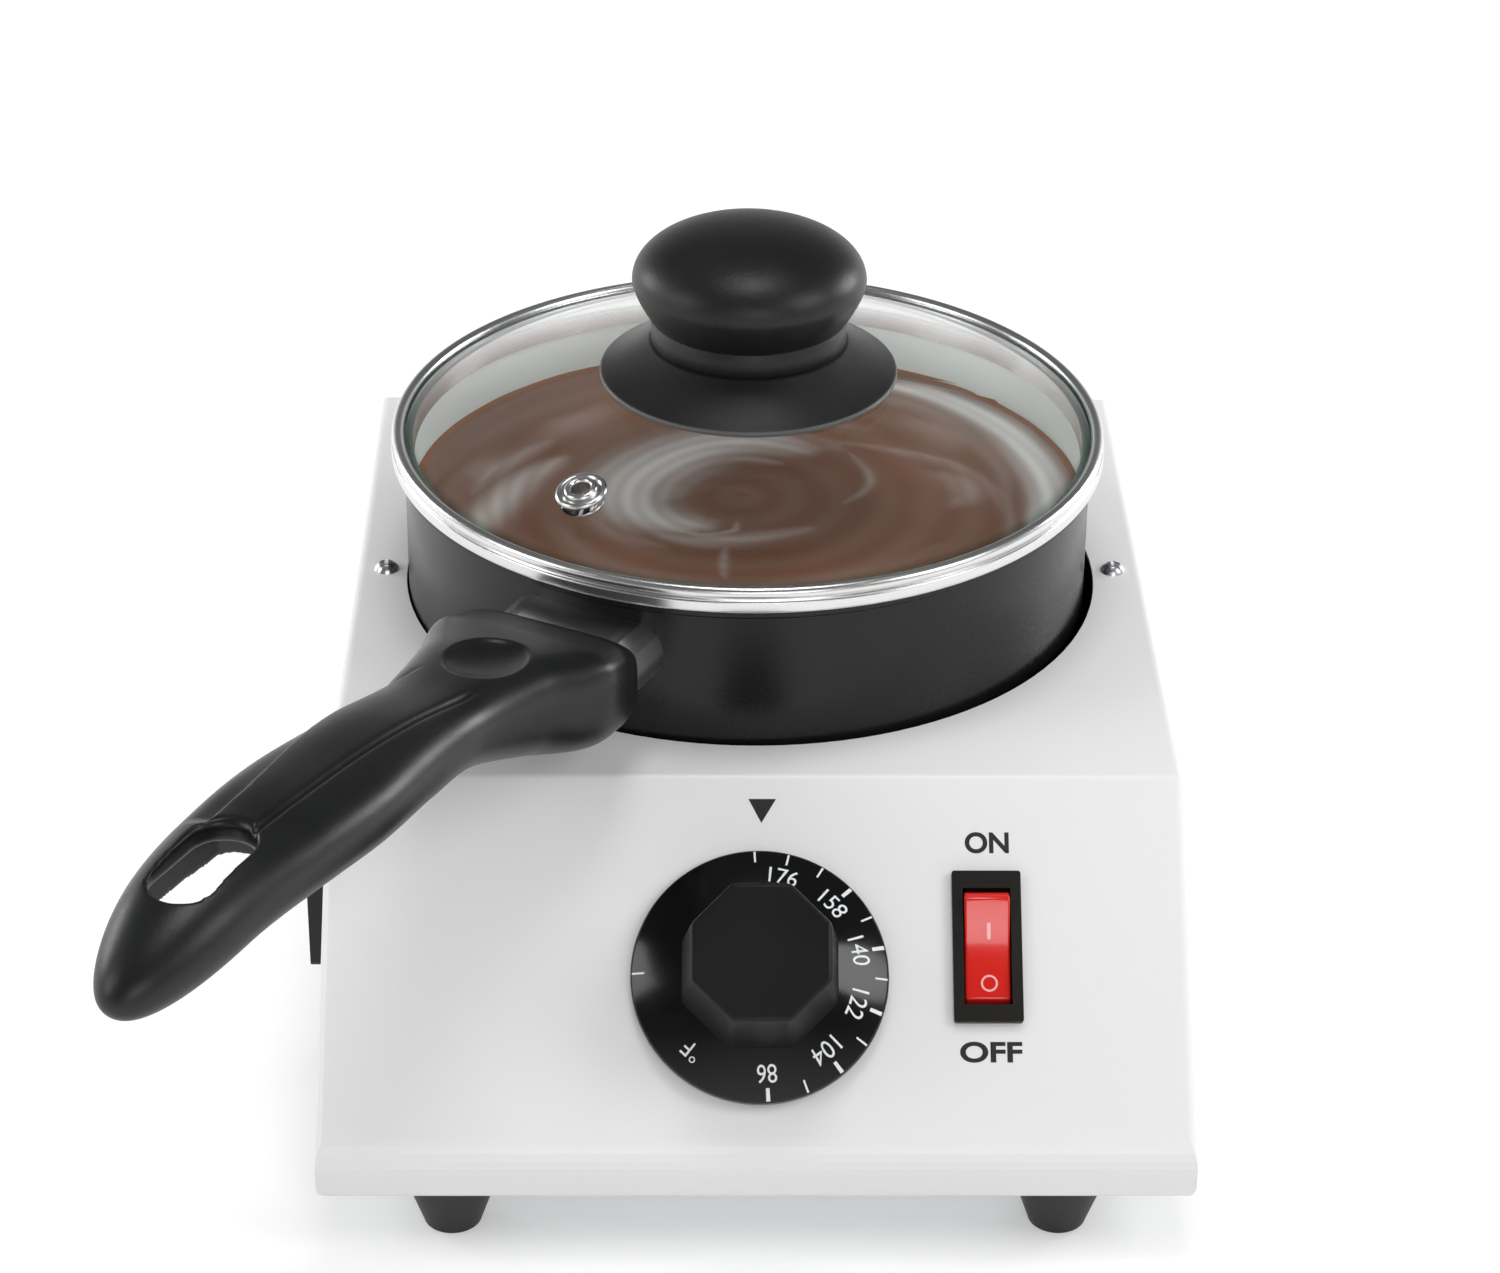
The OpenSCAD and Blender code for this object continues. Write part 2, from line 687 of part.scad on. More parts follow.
module insulation_disc() color("beige") translate([0, 0, insulation_z]) difference() {
    cylinder(r = heater_r, h = insulation_t);
    translate([0, 0, -over]) cylinder(d = stud_d + 2 * gap, h = insulation_t + 2 * over);
}

module heater_clamp() color(zinc) translate([0, 0, clamp_z]) difference() {
    cylinder(r = clamp_r, h = clamp_t);
    translate([0, 0, -over]) cylinder(d = stud_d + 2 * gap, h = clamp_t + 2 * over);
}

module heater_nut() color(bright_steel) translate([0, 0, clamp_z - heater_nut_h])
    hexagon_nut(heater_nut_w, heater_nut_h, stud_d);

// The capillary leaves the bulb, drops past the thermostat and enters it square from behind
stat_back = panel_point(dial_x, dial_down, [0, 0, -stat_gap - sheet - stat_depth]);
stat_behind = panel_point(dial_x, dial_down, [0, 0, -stat_gap - sheet - stat_depth - capillary_bend]);
bulb_end = [bulb_l / 2, bulb_y, bulb_z];
capillary_shares = [[0, 0, 0], [1, 0, 0], [2, -0.8, -1.2], [1, -2.2, -3.4], [-1.6, -3, -5.2]];
capillary_points = concat([for (p = capillary_shares) bulb_end + capillary_bend * p],
    [stat_behind + capillary_bend * [1.8, 0.4, -0.6], stat_behind, stat_back]);

module temperature_sensor() color("#b87333") {
    translate([-bulb_l / 2, bulb_y, bulb_z]) rotate([0, 90, 0]) cylinder(d = bulb_d, h = bulb_l);
    tube(route(capillary_points, 4), capillary_d, wire_sides);
}

module sensor_clip() color(bright_steel) translate([-clip_w / 2, bulb_y, bulb_z]) difference() {
    wall = bulb_d / 2 + running;
    union() {
        rotate([0, 90, 0]) cylinder(d = bulb_d + 2 * clip_t, h = clip_w);
        translate([0, wall - clip_t, -bulb_d / 2 - clip_leg]) cube([clip_w, clip_t, bulb_d + 2 * clip_leg]);
    }
    translate([-over, 0, 0]) rotate([0, 90, 0]) cylinder(d = bulb_d, h = clip_w + 2 * over);
    translate([-over, wall, -bulb_d]) cube([clip_w + 2 * over, over, 2 * bulb_d]);
}

module thermostat_body() color("#d9d4c4") on_panel(dial_x, dial_down) difference() {
    union() {
        translate([-stat_w / 2, -stat_l / 2, -sheet - stat_gap - stat_depth]) cube([stat_w, stat_l, stat_depth]);
        translate([0, 0, -sheet - stat_gap]) cylinder(d = bush_d, h = sheet + stat_gap + dial_lift / 2);
        for (x = [-1, 1]) translate([x * stat_screw_x, 0, -sheet - stat_gap]) cylinder(d = m4_head_d, h = stat_gap);
    }
    translate([0, 0, -stat_depth]) cylinder(d = shaft_d + 2 * running, h = stat_depth + over);
    for (x = [-1, 1]) translate([x * stat_screw_x, 0, -sheet - stat_gap - stat_screw_l])
        cylinder(d = m4_d, h = stat_screw_l + over);
}

module thermostat_terminals() color(bright_steel) on_panel(dial_x, dial_down) for (x = [-1, 1])
    translate([x * stat_tab_x - stat_tab_w / 2, -stat_l / 2 - stat_tab_l, -sheet - stat_gap - stat_depth / 2])
        cube([stat_tab_w, stat_tab_l, stat_tab_t]);

module thermostat_screws() color(bright_steel) on_panel(dial_x, dial_down) for (x = [-1, 1])
    translate([x * stat_screw_x, 0, 0]) cross_screw(m4_d, m4_head_d, dial_lift + m4_head_h / 2, stat_screw_l);

module thermostat_shaft() color(zinc) on_panel(dial_x, dial_down) difference() {
    translate([0, 0, -stat_depth + gap]) cylinder(d = shaft_d, h = stat_depth - gap + shaft_top);
    translate([shaft_d / 2 - shaft_flat, -shaft_d, dial_lift + insert_z - dial_wall])
        cube([shaft_d, 2 * shaft_d, shaft_top]);
}

module dial_insert() color(brass) on_panel(dial_x, dial_down) translate([0, 0, insert_z]) difference() {
    cylinder(d = insert_d, h = insert_h);
    difference() {
        translate([0, 0, -over]) cylinder(d = shaft_d, h = shaft_top - insert_z + over);
        translate([shaft_d / 2 - shaft_flat, -shaft_d, -2 * over]) cube([shaft_d, 2 * shaft_d, shaft_top + 2 * over]);
    }
}

// Octagonal grip that narrows evenly to its top
module dial_grip() {
    h = dial_h - grip_base + dial_wall;
    top = dial_grip_w / 2;
    foot = top + h * dial_draft;
    edge = dial_wall / 2;
    intersection_for (turn = [0, 45, 90, 135]) rotate([0, 0, turn]) rotate([90, 0, 0])
        translate([0, 0, -dial_r]) linear_extrude(2 * dial_r)
            polygon([[-foot, 0], [foot, 0], [top, h - edge], [top - edge, h], [edge - top, h], [-top, h - edge]]);
}

module dial_knob() color(black_plastic) on_panel(dial_x, dial_down) difference() {
    union() {
        rotate_extrude() polygon([[0, grip_base - dial_wall], [hub_d / 2, grip_base - dial_wall],
            [dial_grip_w / 2, grip_base - dial_wall], [dial_r - dial_wall, dial_lift],
            [dial_r, dial_lift], [dial_r, dial_lift + dial_rim_h], [dial_r - dial_rim_h / 2, dial_lift + 1.4 * dial_rim_h],
            [dial_grip_w / 2 + dial_wall, grip_base + dial_wall / 2], [0, grip_base + dial_wall / 2]]);
        translate([0, 0, insert_z]) cylinder(d = hub_d, h = grip_base - insert_z);
        translate([0, 0, grip_base - dial_wall]) dial_grip();
    }
    translate([0, 0, insert_z - over]) cylinder(d = insert_d, h = insert_h + over);
}

// Side view of the rocker, level: an arc at each end, a dished face and flat underside
function rocker_outline() = let (reach = rocker_r, top = rocker_rise,
    lean = asin(top / reach), nose = rocker_nose_r / reach * 60)
    concat([for (i = [0 : corner_steps]) let (a = -asin(rocker_skirt / reach)
            + (lean + asin(rocker_skirt / reach) - nose) * i / corner_steps) reach * [cos(a), sin(a)]],
        [for (i = [4 : -1 : -4]) [reach * cos(lean) * rocker_face_share * i / 4, top - rocker_dish * (1 - pow(i / 4, 2))]],
        [for (i = [corner_steps : -1 : 0]) let (a = -asin(rocker_skirt / reach)
            + (lean + asin(rocker_skirt / reach) - nose) * i / corner_steps) reach * [-cos(a), sin(a)]]);

// Places children on the rocker's pivot, tipped by an angle, with +X up the slope and +Y out of the panel
module at_pivot(tip) {
    on_panel(switch_x, switch_down) translate([0, 0, -pivot_drop]) rotate([tip, 0, 0])
        rotate([90, 0, 90]) children();
}

module switch_housing() color(black_plastic) on_panel(switch_x, switch_down) difference() {
    union() {
        rounded_plate(bezel_w, bezel_l, bezel_t, bezel_t / 3);
        translate([-body_w / 2, -body_l / 2, -body_depth]) cube([body_w, body_l, body_depth]);
        for (side = [-1, 1]) translate([-latch_l / 2, side > 0 ? body_l / 2 : -body_l / 2 - latch_t, -sheet - 2 * latch_l])
            cube([latch_l, latch_t, 2 * latch_l - cutout_gap]);
    }
    translate([-window_w / 2, -window_l / 2, -body_depth + body_floor])
        cube([window_w, window_l, body_depth + bezel_t]);
    translate([-body_w, 0, -pivot_drop]) rotate([0, 90, 0]) cylinder(d = pivot_d + 2 * running, h = 2 * body_w);
    for (k = [-1 : 1]) translate([-blade_w / 2, k * blade_pitch - blade_t / 2, -body_depth - over])
        cube([blade_w, blade_t, body_floor + 2 * over]);
}

module switch_terminals() color(brass) on_panel(switch_x, switch_down) {
    for (k = [-1 : 1]) translate([-blade_w / 2, k * blade_pitch - blade_t / 2, -body_depth - blade_l])
        cube([blade_w, blade_t, blade_l + body_floor + blade_in]);
    axis_z = -pivot_drop - contact_drop - contact_t / 2;
    fork_z = -body_depth + body_floor;
    translate([-contact_w / 2 + contact_pin_l, -fork_t / 2, fork_z])
        cube([contact_w - 2 * contact_pin_l, fork_t, axis_z - contact_t / 2 - gap - fork_z]);
    difference() {
        for (side = [-1, 1]) translate([side * (contact_w + contact_pin_l) / 2 - contact_pin_l / 2 + side * running,
            -fork_t / 2, fork_z]) cube([contact_pin_l, fork_t, axis_z - fork_z]);
        translate([-contact_w, 0, axis_z]) rotate([0, 90, 0]) cylinder(d = contact_pin_d + 2 * running, h = 2 * contact_w);
    }
    translate([-contact_w / 2 - contact_pin_l - running, -fork_t / 2, fork_z])
        cube([contact_w + 2 * (contact_pin_l + running), fork_t, blade_in]);
}

// The seesaw contact rocks on its pins in the middle terminal's fork, the opposite way to the rocker
module switch_contact() color(brass) on_panel(switch_x, switch_down)
    translate([0, 0, -pivot_drop - contact_drop - contact_t / 2]) rotate([-rocker_tip * contact_ratio, 0, 0]) {
        translate([-contact_w / 2, -contact_l / 2, -contact_t / 2]) cube([contact_w, contact_l, contact_t]);
        for (side = [0, 1]) mirror([side, 0, 0]) translate([contact_w / 2 - contact_pin_l / 2, 0, 0])
            rotate([0, 90, 0]) cylinder(d = contact_pin_d, h = 1.5 * contact_pin_l);
    }

module rocker() color("#c01a12") at_pivot(rocker_tip) difference() {
    union() {
        translate([0, 0, -window_w / 2 + rocker_gap]) linear_extrude(window_w - 2 * rocker_gap) polygon(rocker_outline());
        translate([0, 0, -window_w / 2 - pivot_l]) cylinder(d = pivot_d, h = window_w + 2 * pivot_l);
        translate([-stem_w / 2, -stem_l, -stem_w / 2]) cube([stem_w, stem_l - rocker_skirt / 2, stem_w]);
        translate([0, -stem_l, -stem_w / 2]) cylinder(d = stem_w, h = stem_w);
    }
    translate([lamp_d / 2, -rocker_skirt - over, -lamp_d / 2 - gap])
        cube([lamp_d + gap, rocker_skirt + over + lamp_d / 2, lamp_d + 2 * gap]);
}

module rocker_lamp() color("#ffb08a") at_pivot(rocker_tip)
    translate([lamp_d + gap, -running - lamp_l / 2, 0])
        rotate([90, 0, 0]) translate([0, 0, -lamp_l / 2]) cylinder(d = lamp_d, h = lamp_l / 2 + lamp_d / 2);

module inlet_bush() color(black_plastic) translate([inlet_x, back_y, inlet_z]) rotate([90, 0, 0]) difference() {
    union() {
        translate([0, 0, -inlet_lip_t]) cylinder(d = inlet_lip_d, h = inlet_lip_t);
        cylinder(d = inlet_d, h = sheet);
        translate([0, 0, sheet]) cylinder(d = inlet_lip_d, h = inlet_lip_t);
        cylinder(d = inlet_d - inlet_lip_t / 2, h = inlet_l - inlet_lip_t);
    }
    translate([0, 0, -inlet_l]) cylinder(d = bush_in_d, h = 3 * inlet_l);
}

module terminal_block() color("ivory") translate([inlet_x, block_y, plate_top]) difference() {
    translate([-block_w / 2, -block_d / 2, 0]) cube([block_w, block_d, block_h]);
    for (k = [-1 : 1]) translate([k * block_pitch, block_d, block_h / 2]) rotate([90, 0, 0])
        cylinder(d = block_bore_d, h = 2 * block_d);
    for (k = [-1, 1], y = [-1, 1]) translate([k * block_pitch, y * block_d / 4, block_h / 2])
        cylinder(d = block_bore_d, h = block_h);
    translate([0, 0, -over]) cylinder(d = m3_d, h = block_h / 2 - block_bore_d / 2 - sheet + over);
}

module terminal_screw() color(bright_steel) translate([inlet_x, block_y, plate_z]) rotate([180, 0, 0])
    cross_screw(m3_d, m3_head_d, m3_head_h, plate_t + block_h / 2 - block_bore_d / 2 - sheet);

module earth_screw() color(bright_steel) translate([earth_x, earth_y, plate_z]) {
    rotate([180, 0, 0]) cross_screw(m4_d, m4_head_d, m4_head_h, earth_screw_l);
    translate([0, 0, plate_t]) hexagon_nut(m4_nut_w, m4_nut_h, m4_d);
}

// Ends of the wires: the block's front bores, the switch's and thermostat's blades and the heater's tabs
block_end = [for (k = [-1 : 1]) [inlet_x + k * block_pitch, block_y - block_d / 2 + wire_in, plate_top + block_h / 2]];
block_out = [for (p = block_end) p - [0, wire_out, 0]];
function switch_wire(k, tail) = panel_point(switch_x, switch_down, [0, k * blade_pitch, -body_depth - blade_l - tail]);
switch_end = [for (k = [-1 : 1]) switch_wire(k, gap)];
switch_out = [for (k = [-1 : 1]) switch_wire(k, gap + wire_tail)];
function stat_wire(x, tail) = panel_point(dial_x, dial_down, [x * stat_tab_x, -stat_l / 2 - stat_tab_l - tail,
    -sheet - stat_gap - stat_depth / 2 + stat_tab_t / 2]);
stat_end = [for (x = [-1, 1]) stat_wire(x, gap)];
stat_out = [for (x = [-1, 1]) stat_wire(x, gap + wire_tail)];
function heater_wire(x, tail) = [x * heater_tab_x, -heater_r - bead_l - heater_tab_l - tail, heater_z + heater_t / 2];
heater_end = [for (x = [-1, 1]) heater_wire(x, gap)];
heater_out = [for (x = [-1, 1]) heater_wire(x, gap + wire_tail)];
low_z = plate_top + wire_up;

// A place inside the case: shares of its half width and half depth, and a height in wire diameters
function inside(x, y, up) = [x * case_half, y * top_half, low_z + up * wire_d];
function beside(p, v) = p + wire_d * v;

module wire_live() color("saddlebrown") {
    tube(route([block_end[2], block_out[2], inside(0.78, 0.22, 1.4), inside(0.8, -0.33, 1.4), inside(0.73, -0.88, 1.4),
        beside(switch_out[1], [3.6, 6.4, -0.9]), switch_out[1], switch_end[1]], 3), wire_d, wire_sides);
    tube(route([switch_end[0], switch_out[0], beside(switch_out[0], [-3.6, 1.4, -1.4]), inside(0.29, -1.24, 0.9),
        beside(stat_out[1], [2.7, 0, -0.5]), stat_out[1], stat_end[1]], 3), wire_d, wire_sides);
    tube(route([stat_end[0], stat_out[0], beside(stat_out[0], [-4.1, 1.8, 0]), inside(-0.27, -1.24, 0.9),
        inside(-0.29, -1.02, 2.7), beside(heater_out[0], [-3.6, -2.7, -2.7]), heater_out[0], heater_end[0]], 3),
        wire_d, wire_sides);
}

module wire_neutral() color("royalblue") {
    tube(route([block_end[0], block_out[0], inside(0.44, 0.11, 1.4), inside(0.49, -0.44, 1.4), inside(0.38, -0.8, 3.6),
        beside(heater_out[1], [4.5, -1.8, -2.7]), heater_out[1], heater_end[1]], 3), wire_d, wire_sides);
    tube(route([switch_end[2], switch_out[2], beside(switch_out[2], [-2.7, 3.6, -1.8]), inside(0.42, -0.86, 6.4),
        beside(heater_out[1], [5.5, -4.5, 0]), beside(heater_out[1], [1.1, -3.2, 0.5])], 3), wire_d, wire_sides);
}

earth_ring = [earth_x + m4_nut_w / 2, earth_y, plate_top + wire_d / 2 + gap];
module wire_earth() color("yellowgreen") tube(route([block_end[1], block_out[1],
    beside(block_out[1], [-3.6, -3.6, -1.4]), beside(earth_ring, [4.8, -3.6, 1]), beside(earth_ring, [1.8, 0, 0]),
    beside(earth_ring, [0.2, 0, 0])], 3), wire_d, wire_sides);

module pan_body() color("#222224") on_pan_axis() translate([0, 0, well_floor_top]) rotate_extrude() polygon([
    [0, 0], for (i = [0 : corner_steps]) [pan_r - pan_corner_r + pan_corner_r * sin(90 * i / corner_steps),
        pan_corner_r * (1 - cos(90 * i / corner_steps))],
    [pan_r, pan_h - rim_flare], [rim_d / 2, pan_h - rim_t], [rim_d / 2, pan_h], [pan_r - pan_wall, pan_h],
    for (i = [corner_steps : -1 : 0]) [pan_r - pan_corner_r + (pan_corner_r - pan_wall) * sin(90 * i / corner_steps),
        pan_floor + (pan_corner_r - pan_wall) * (1 - cos(90 * i / corner_steps))],
    [0, pan_floor]]);

module pan_bracket() color(zinc) along_handle() difference() {
    union() {
        intersection() {
            difference() {
                cylinder(r = pan_r + pad_t, h = 2 * top_z);
                translate([0, 0, -over]) cylinder(r = pan_r, h = 2 * top_z + 2 * over);
            }
            translate([0, -pad_w / 2, bracket_z + bracket_t / 2 - pad_h / 2]) cube([pan_r + pad_w, pad_w, pad_h]);
        }
        translate([pan_r + pad_t / 2, -bracket_w / 2, bracket_z])
            cube([ferrule_end + bracket_reach - pan_r - pad_t / 2, bracket_w, bracket_t]);
    }
    translate([ferrule_end + handle_screw_in, 0, bracket_z - over]) cylinder(d = m4_d, h = bracket_t + 2 * over);
}

module ferrule_section(less_by) {
    w = ferrule_w / 2 - less_by;
    points = [[-w, ferrule_bottom + less_by], [w, ferrule_bottom + less_by], [w, ferrule_top - less_by],
        [-w, ferrule_top - less_by]];
    rotate([90, 0, 90]) linear_extrude(ferrule_end) polygon(rounded(points,
        [for (i = [0 : 3]) ferrule_r - less_by]));
}

module pan_ferrule() color("#8d9095") along_handle() difference() {
    ferrule_section(0);
    cylinder(r = pan_r, h = 2 * top_z);
    difference() {
        ferrule_section(ferrule_t);
        translate([ferrule_end - ferrule_t, -ferrule_w, 0]) cube([over * ferrule_t, 2 * ferrule_w, 2 * top_z]);
    }
    translate([0, -bracket_w / 2 - gap, bracket_z - gap])
        cube([ferrule_end + over, bracket_w + 2 * gap, bracket_t + 2 * gap]);
}

// Handle: rings of rounded squares along the middle line, drawn in to a round tip
handle_places = concat([for (i = [0 : handle_rings - 1]) (1 - tip_share) * i / (handle_rings - 1)],
    [for (i = [1 : tip_rings]) 1 - tip_share + tip_share * sin(90 * i / (tip_rings + 0.2))]);
function handle_z(t) = head_mid + handle_rise * smooth(station_shares, rise_shares, t);
function tip_scale(t) = let (q = max(0, (t - 1 + tip_share) / tip_share)) pow(1 - pow(q, tip_power), 1 / tip_power);
function half_width(t) = grip_w * smooth(station_shares, width_shares, t) * tip_scale(t);
function half_height(t) = head_t * smooth(station_shares, height_shares, t) * tip_scale(t);
function handle_lean(t) = atan2(handle_z(min(t + 0.01, 1)) - handle_z(max(t - 0.01, 0)),
    handle_len * (min(t + 0.01, 1) - max(t - 0.01, 0)));
function handle_ring(t) = let (a = half_width(t), b = half_height(t), power = smooth(station_shares, round_shares, t),
    lean = handle_lean(t) * min(1, t / station_shares[3]))
    [for (k = [0 : handle_sides - 1]) let (turn = 360 * k / handle_sides, y = a * square_sign(cos(turn), power),
        z = b * square_sign(sin(turn), power))
        [ferrule_end + handle_len * t - z * sin(lean), y, handle_z(t) + z * cos(lean)]];

module handle_slot() {
    a = ferrule_end + handle_len * slot_from_share + slot_w / 2;
    b = ferrule_end + handle_len * slot_to_share - slot_w / 2;
    translate([a, -slot_w / 2, head_mid]) cube([b - a, slot_w, 2 * head_t]);
    for (x = [a, b]) translate([x, 0, head_mid]) cylinder(d = slot_w, h = 2 * head_t);
}

module pan_handle() color(black_plastic) along_handle() difference() {
    skin([for (t = handle_places) handle_ring(t)]);
    handle_slot();
    translate([ferrule_end - over, -bracket_w / 2 - gap, bracket_z - gap])
        cube([bracket_reach + over + gap, bracket_w + 2 * gap, bracket_t + 2 * gap]);
    translate([ferrule_end + handle_screw_in, 0, 0]) {
        cylinder(d = m4_d + 2 * gap, h = bracket_z + bracket_t);
        cylinder(d = m4_head_d + 2 * gap, h = handle_screw_seat);
    }
}

module handle_screw() color(bright_steel) along_handle()
    translate([ferrule_end + handle_screw_in, 0, handle_screw_seat]) rotate([180, 0, 0])
        cross_screw(m4_d, m4_head_d, m4_head_h, bracket_z + bracket_t - handle_screw_seat);

module chocolate() color("#4a2515") on_pan_axis() translate([0, 0, well_floor_top]) rotate_extrude() polygon([
    [0, pan_floor + fill_gap], for (i = [0 : corner_steps]) [pan_r - pan_corner_r
        + (pan_corner_r - pan_wall - fill_gap) * sin(90 * i / corner_steps),
        pan_floor + pan_corner_r - pan_wall - (pan_corner_r - pan_wall - fill_gap) * cos(90 * i / corner_steps)],
    [pan_r - pan_wall - fill_gap, fill_z - well_floor_top], [0, fill_z - well_floor_top]]);

module lid_glass() color("#cfe6df", 0.45) on_pan_axis() difference() {
    union() {
        intersection() {
            difference() {
                translate([0, 0, dome_top - dome_r]) sphere(dome_r, $fn = 128);
                translate([0, 0, dome_top - dome_r]) sphere(dome_r - glass_t, $fn = 128);
            }
            translate([0, 0, glass_seat]) cylinder(r = band_in_r, h = dome_h);
        }
        translate([0, 0, glass_seat]) difference() {
            cylinder(r = glass_r, h = glass_t);
            translate([0, 0, -over]) cylinder(r = glass_r - glass_rim_w, h = glass_t + 2 * over);
        }
    }
    translate([0, 0, band_z]) cylinder(d = knob_hole_d, h = 2 * dome_h);
    rotate([0, 0, vent_turn]) translate([vent_at, 0, band_z]) cylinder(d = vent_neck_d + 2 * running, h = 2 * dome_h);
}

module lid_band() color(bright_steel) on_pan_axis() rotate_extrude() difference() {
    union() {
        polygon(rounded([[band_in_r, band_z], [lid_r, band_z], [lid_r, band_z + band_h], [band_in_r, band_z + band_h]],
            [band_t / 2, band_foot_r, band_crown_r, band_t / 2]));
        translate([locator_r - band_t, band_z - locator_h]) square([band_t, locator_h + band_t]);
        translate([locator_r - band_t, band_z]) square([band_in_r - locator_r + 2 * band_t, band_t]);
    }
    translate([locator_r, band_z + band_t]) square([glass_r + running - locator_r, glass_t + running]);
}

// Height of the glass's outer and inner face at a distance from the axis
function glass_out(r) = dome_top - dome_r + sqrt(dome_r * dome_r - r * r);
function glass_in(r) = dome_top - dome_r + sqrt(pow(dome_r - glass_t, 2) - r * r);
gasket_low = glass_in(gasket_d / 2) - gasket_t;

module lid_vent() color(bright_steel) on_pan_axis() rotate([0, 0, vent_turn]) {
    lean = asin(vent_at / dome_r);
    translate([vent_at, 0, glass_out(vent_at)]) rotate([0, lean, 0]) rotate_extrude() polygon([
        [vent_bore_d / 2, vent_dome_t], [vent_bore_d / 2, -glass_t - 2 * vent_lip_t],
        [vent_lip_d / 2 - vent_lip_t, -glass_t - 2 * vent_lip_t], [vent_lip_d / 2 - vent_lip_t, -glass_t - vent_lip_t / 2],
        [vent_neck_d / 2 - vent_lip_t, -glass_t - vent_lip_t / 2], [vent_neck_d / 2 - vent_lip_t, vent_lip_t / 4],
        [vent_lip_d / 2, vent_lip_t / 4], [vent_lip_d / 2, vent_lip_t / 2], [vent_lip_d / 2 - vent_lip_t / 2, vent_lip_t],
        [vent_bore_d / 2 + vent_lip_t, vent_dome_t]]);
}

module knob_disc() color(black_plastic) on_pan_axis() difference() {
    union() {
        rotate_extrude() polygon([[disc_r, disc_edge_z], [disc_r, disc_edge_z + disc_edge_t],
            for (i = [1 : 6]) let (t = i / 6) [disc_r + (disc_top_r - disc_r) * t,
                disc_edge_z + disc_edge_t + (disc_h - disc_edge_t) * (0.75 * t + 0.25 * t * t)],
            [0, neck_z], [0, neck_z - disc_wall], [disc_top_r - disc_wall, neck_z - disc_wall],
            [disc_r - disc_wall, disc_edge_z + disc_wall * disc_r / dome_r]]);
        translate([0, 0, glass_out(0) + gasket_t]) cylinder(r = disc_hub_r, h = neck_z - disc_wall / 2 - glass_out(0) - gasket_t);
    }
    translate([0, 0, glass_out(0)]) cylinder(r = insert_r + gap, h = knob_h);
}

module knob_head() color(black_plastic) on_pan_axis() translate([0, 0, neck_z]) difference() {
    rotate_extrude() polygon([[0, 0], [neck_r, 0], [neck_r, neck_h - groove_d], [neck_r - groove_d, neck_h],
        [neck_r - groove_d, underside_z - groove_d], [underside_r, underside_z],
        for (i = [0 : 5]) let (t = i / 5) [underside_r + (knob_d / 2 - underside_r) * sin(90 * t),
            underside_z + (widest_z - underside_z) * (0.35 * t + 0.65 * t * t)],
        for (i = [1 : 12]) let (a = 90 * i / 12) [knob_d / 2 * pow(cos(a), 0.92),
            widest_z + (knob_h - widest_z) * pow(sin(a), 0.96)]]);
    translate([0, 0, -over]) cylinder(r = insert_r, h = insert_len + over);
}

module knob_insert() color(brass) on_pan_axis() translate([0, 0, neck_z]) difference() {
    cylinder(r = insert_r, h = insert_len);
    translate([0, 0, -over]) cylinder(d = screw_d, h = insert_len);
}

// The gasket's sleeve passes through the glass
module knob_gasket() color("dimgray") on_pan_axis() difference() {
    union() {
        translate([0, 0, glass_out(0)]) cylinder(d = gasket_d, h = gasket_t);
        translate([0, 0, gasket_low]) cylinder(d = gasket_d, h = gasket_t);
        translate([0, 0, gasket_low]) cylinder(d = knob_hole_d - 2 * running, h = glass_out(0) - gasket_low);
    }
    translate([0, 0, gasket_low - over]) cylinder(d = screw_d, h = 2 * dome_h);
}

module knob_washer() color(bright_steel) on_pan_axis() translate([0, 0, gasket_low - washer_t]) difference() {
    cylinder(d = washer_d, h = washer_t);
    translate([0, 0, -over]) cylinder(d = screw_d + gap, h = washer_t + 2 * over);
}

module knob_screw() color(bright_steel) on_pan_axis() translate([0, 0, gasket_low - washer_t])
    rotate([180, 0, 0]) cross_screw(screw_d, knob_screw_head_d, knob_screw_head_h, knob_screw_l);

// The model stands on the floor with its box centred on the axes
handle_points = [for (t = handle_places) each handle_ring(t)];
function handle_at(p) = [pan_shift - p[0] * sin(handle_turn) + p[1] * cos(handle_turn),
    -p[0] * cos(handle_turn) - p[1] * sin(handle_turn)];
left_x = min(-case_half - clip_out, min([for (p = handle_points) handle_at(p)[0]]));
near_y = min(front_y, min([for (p = handle_points) handle_at(p)[1]]));
middle = [-(left_x + case_half) / 2, -(near_y + back_y + inlet_lip_t) / 2, 0];

translate(middle) {
    case_shell();
    base_plate();
    base_screws();
    foot_front_left();
    foot_front_right();
    foot_back_left();
    foot_back_right();
    foot_screws();
    foot_nuts();
    side_clip();
    well();
    well_screws();
    well_nuts();
    heater_disc();
    heater_terminals();
    insulation_disc();
    heater_clamp();
    heater_nut();
    temperature_sensor();
    sensor_clip();
    thermostat_body();
    thermostat_terminals();
    thermostat_screws();
    thermostat_shaft();
    dial_insert();
    dial_knob();
    switch_housing();
    switch_terminals();
    switch_contact();
    rocker();
    rocker_lamp();
    inlet_bush();
    terminal_block();
    terminal_screw();
    earth_screw();
    wire_live();
    wire_neutral();
    wire_earth();
    pan_body();
    pan_bracket();
    pan_ferrule();
    pan_handle();
    handle_screw();
    chocolate();
    lid_glass();
    lid_band();
    lid_vent();
    knob_disc();
    knob_head();
    knob_insert();
    knob_gasket();
    knob_washer();
    knob_screw();
}
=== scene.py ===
"""Looks of the electric chocolate melting pot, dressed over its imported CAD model.

Metres, +Z up, the control panel faces -Y. Sizes that the CAD model shares are named below in millimetres.
"""

import json
import math

import bmesh
import bpy
import numpy as np
from mathutils import Matrix, Vector


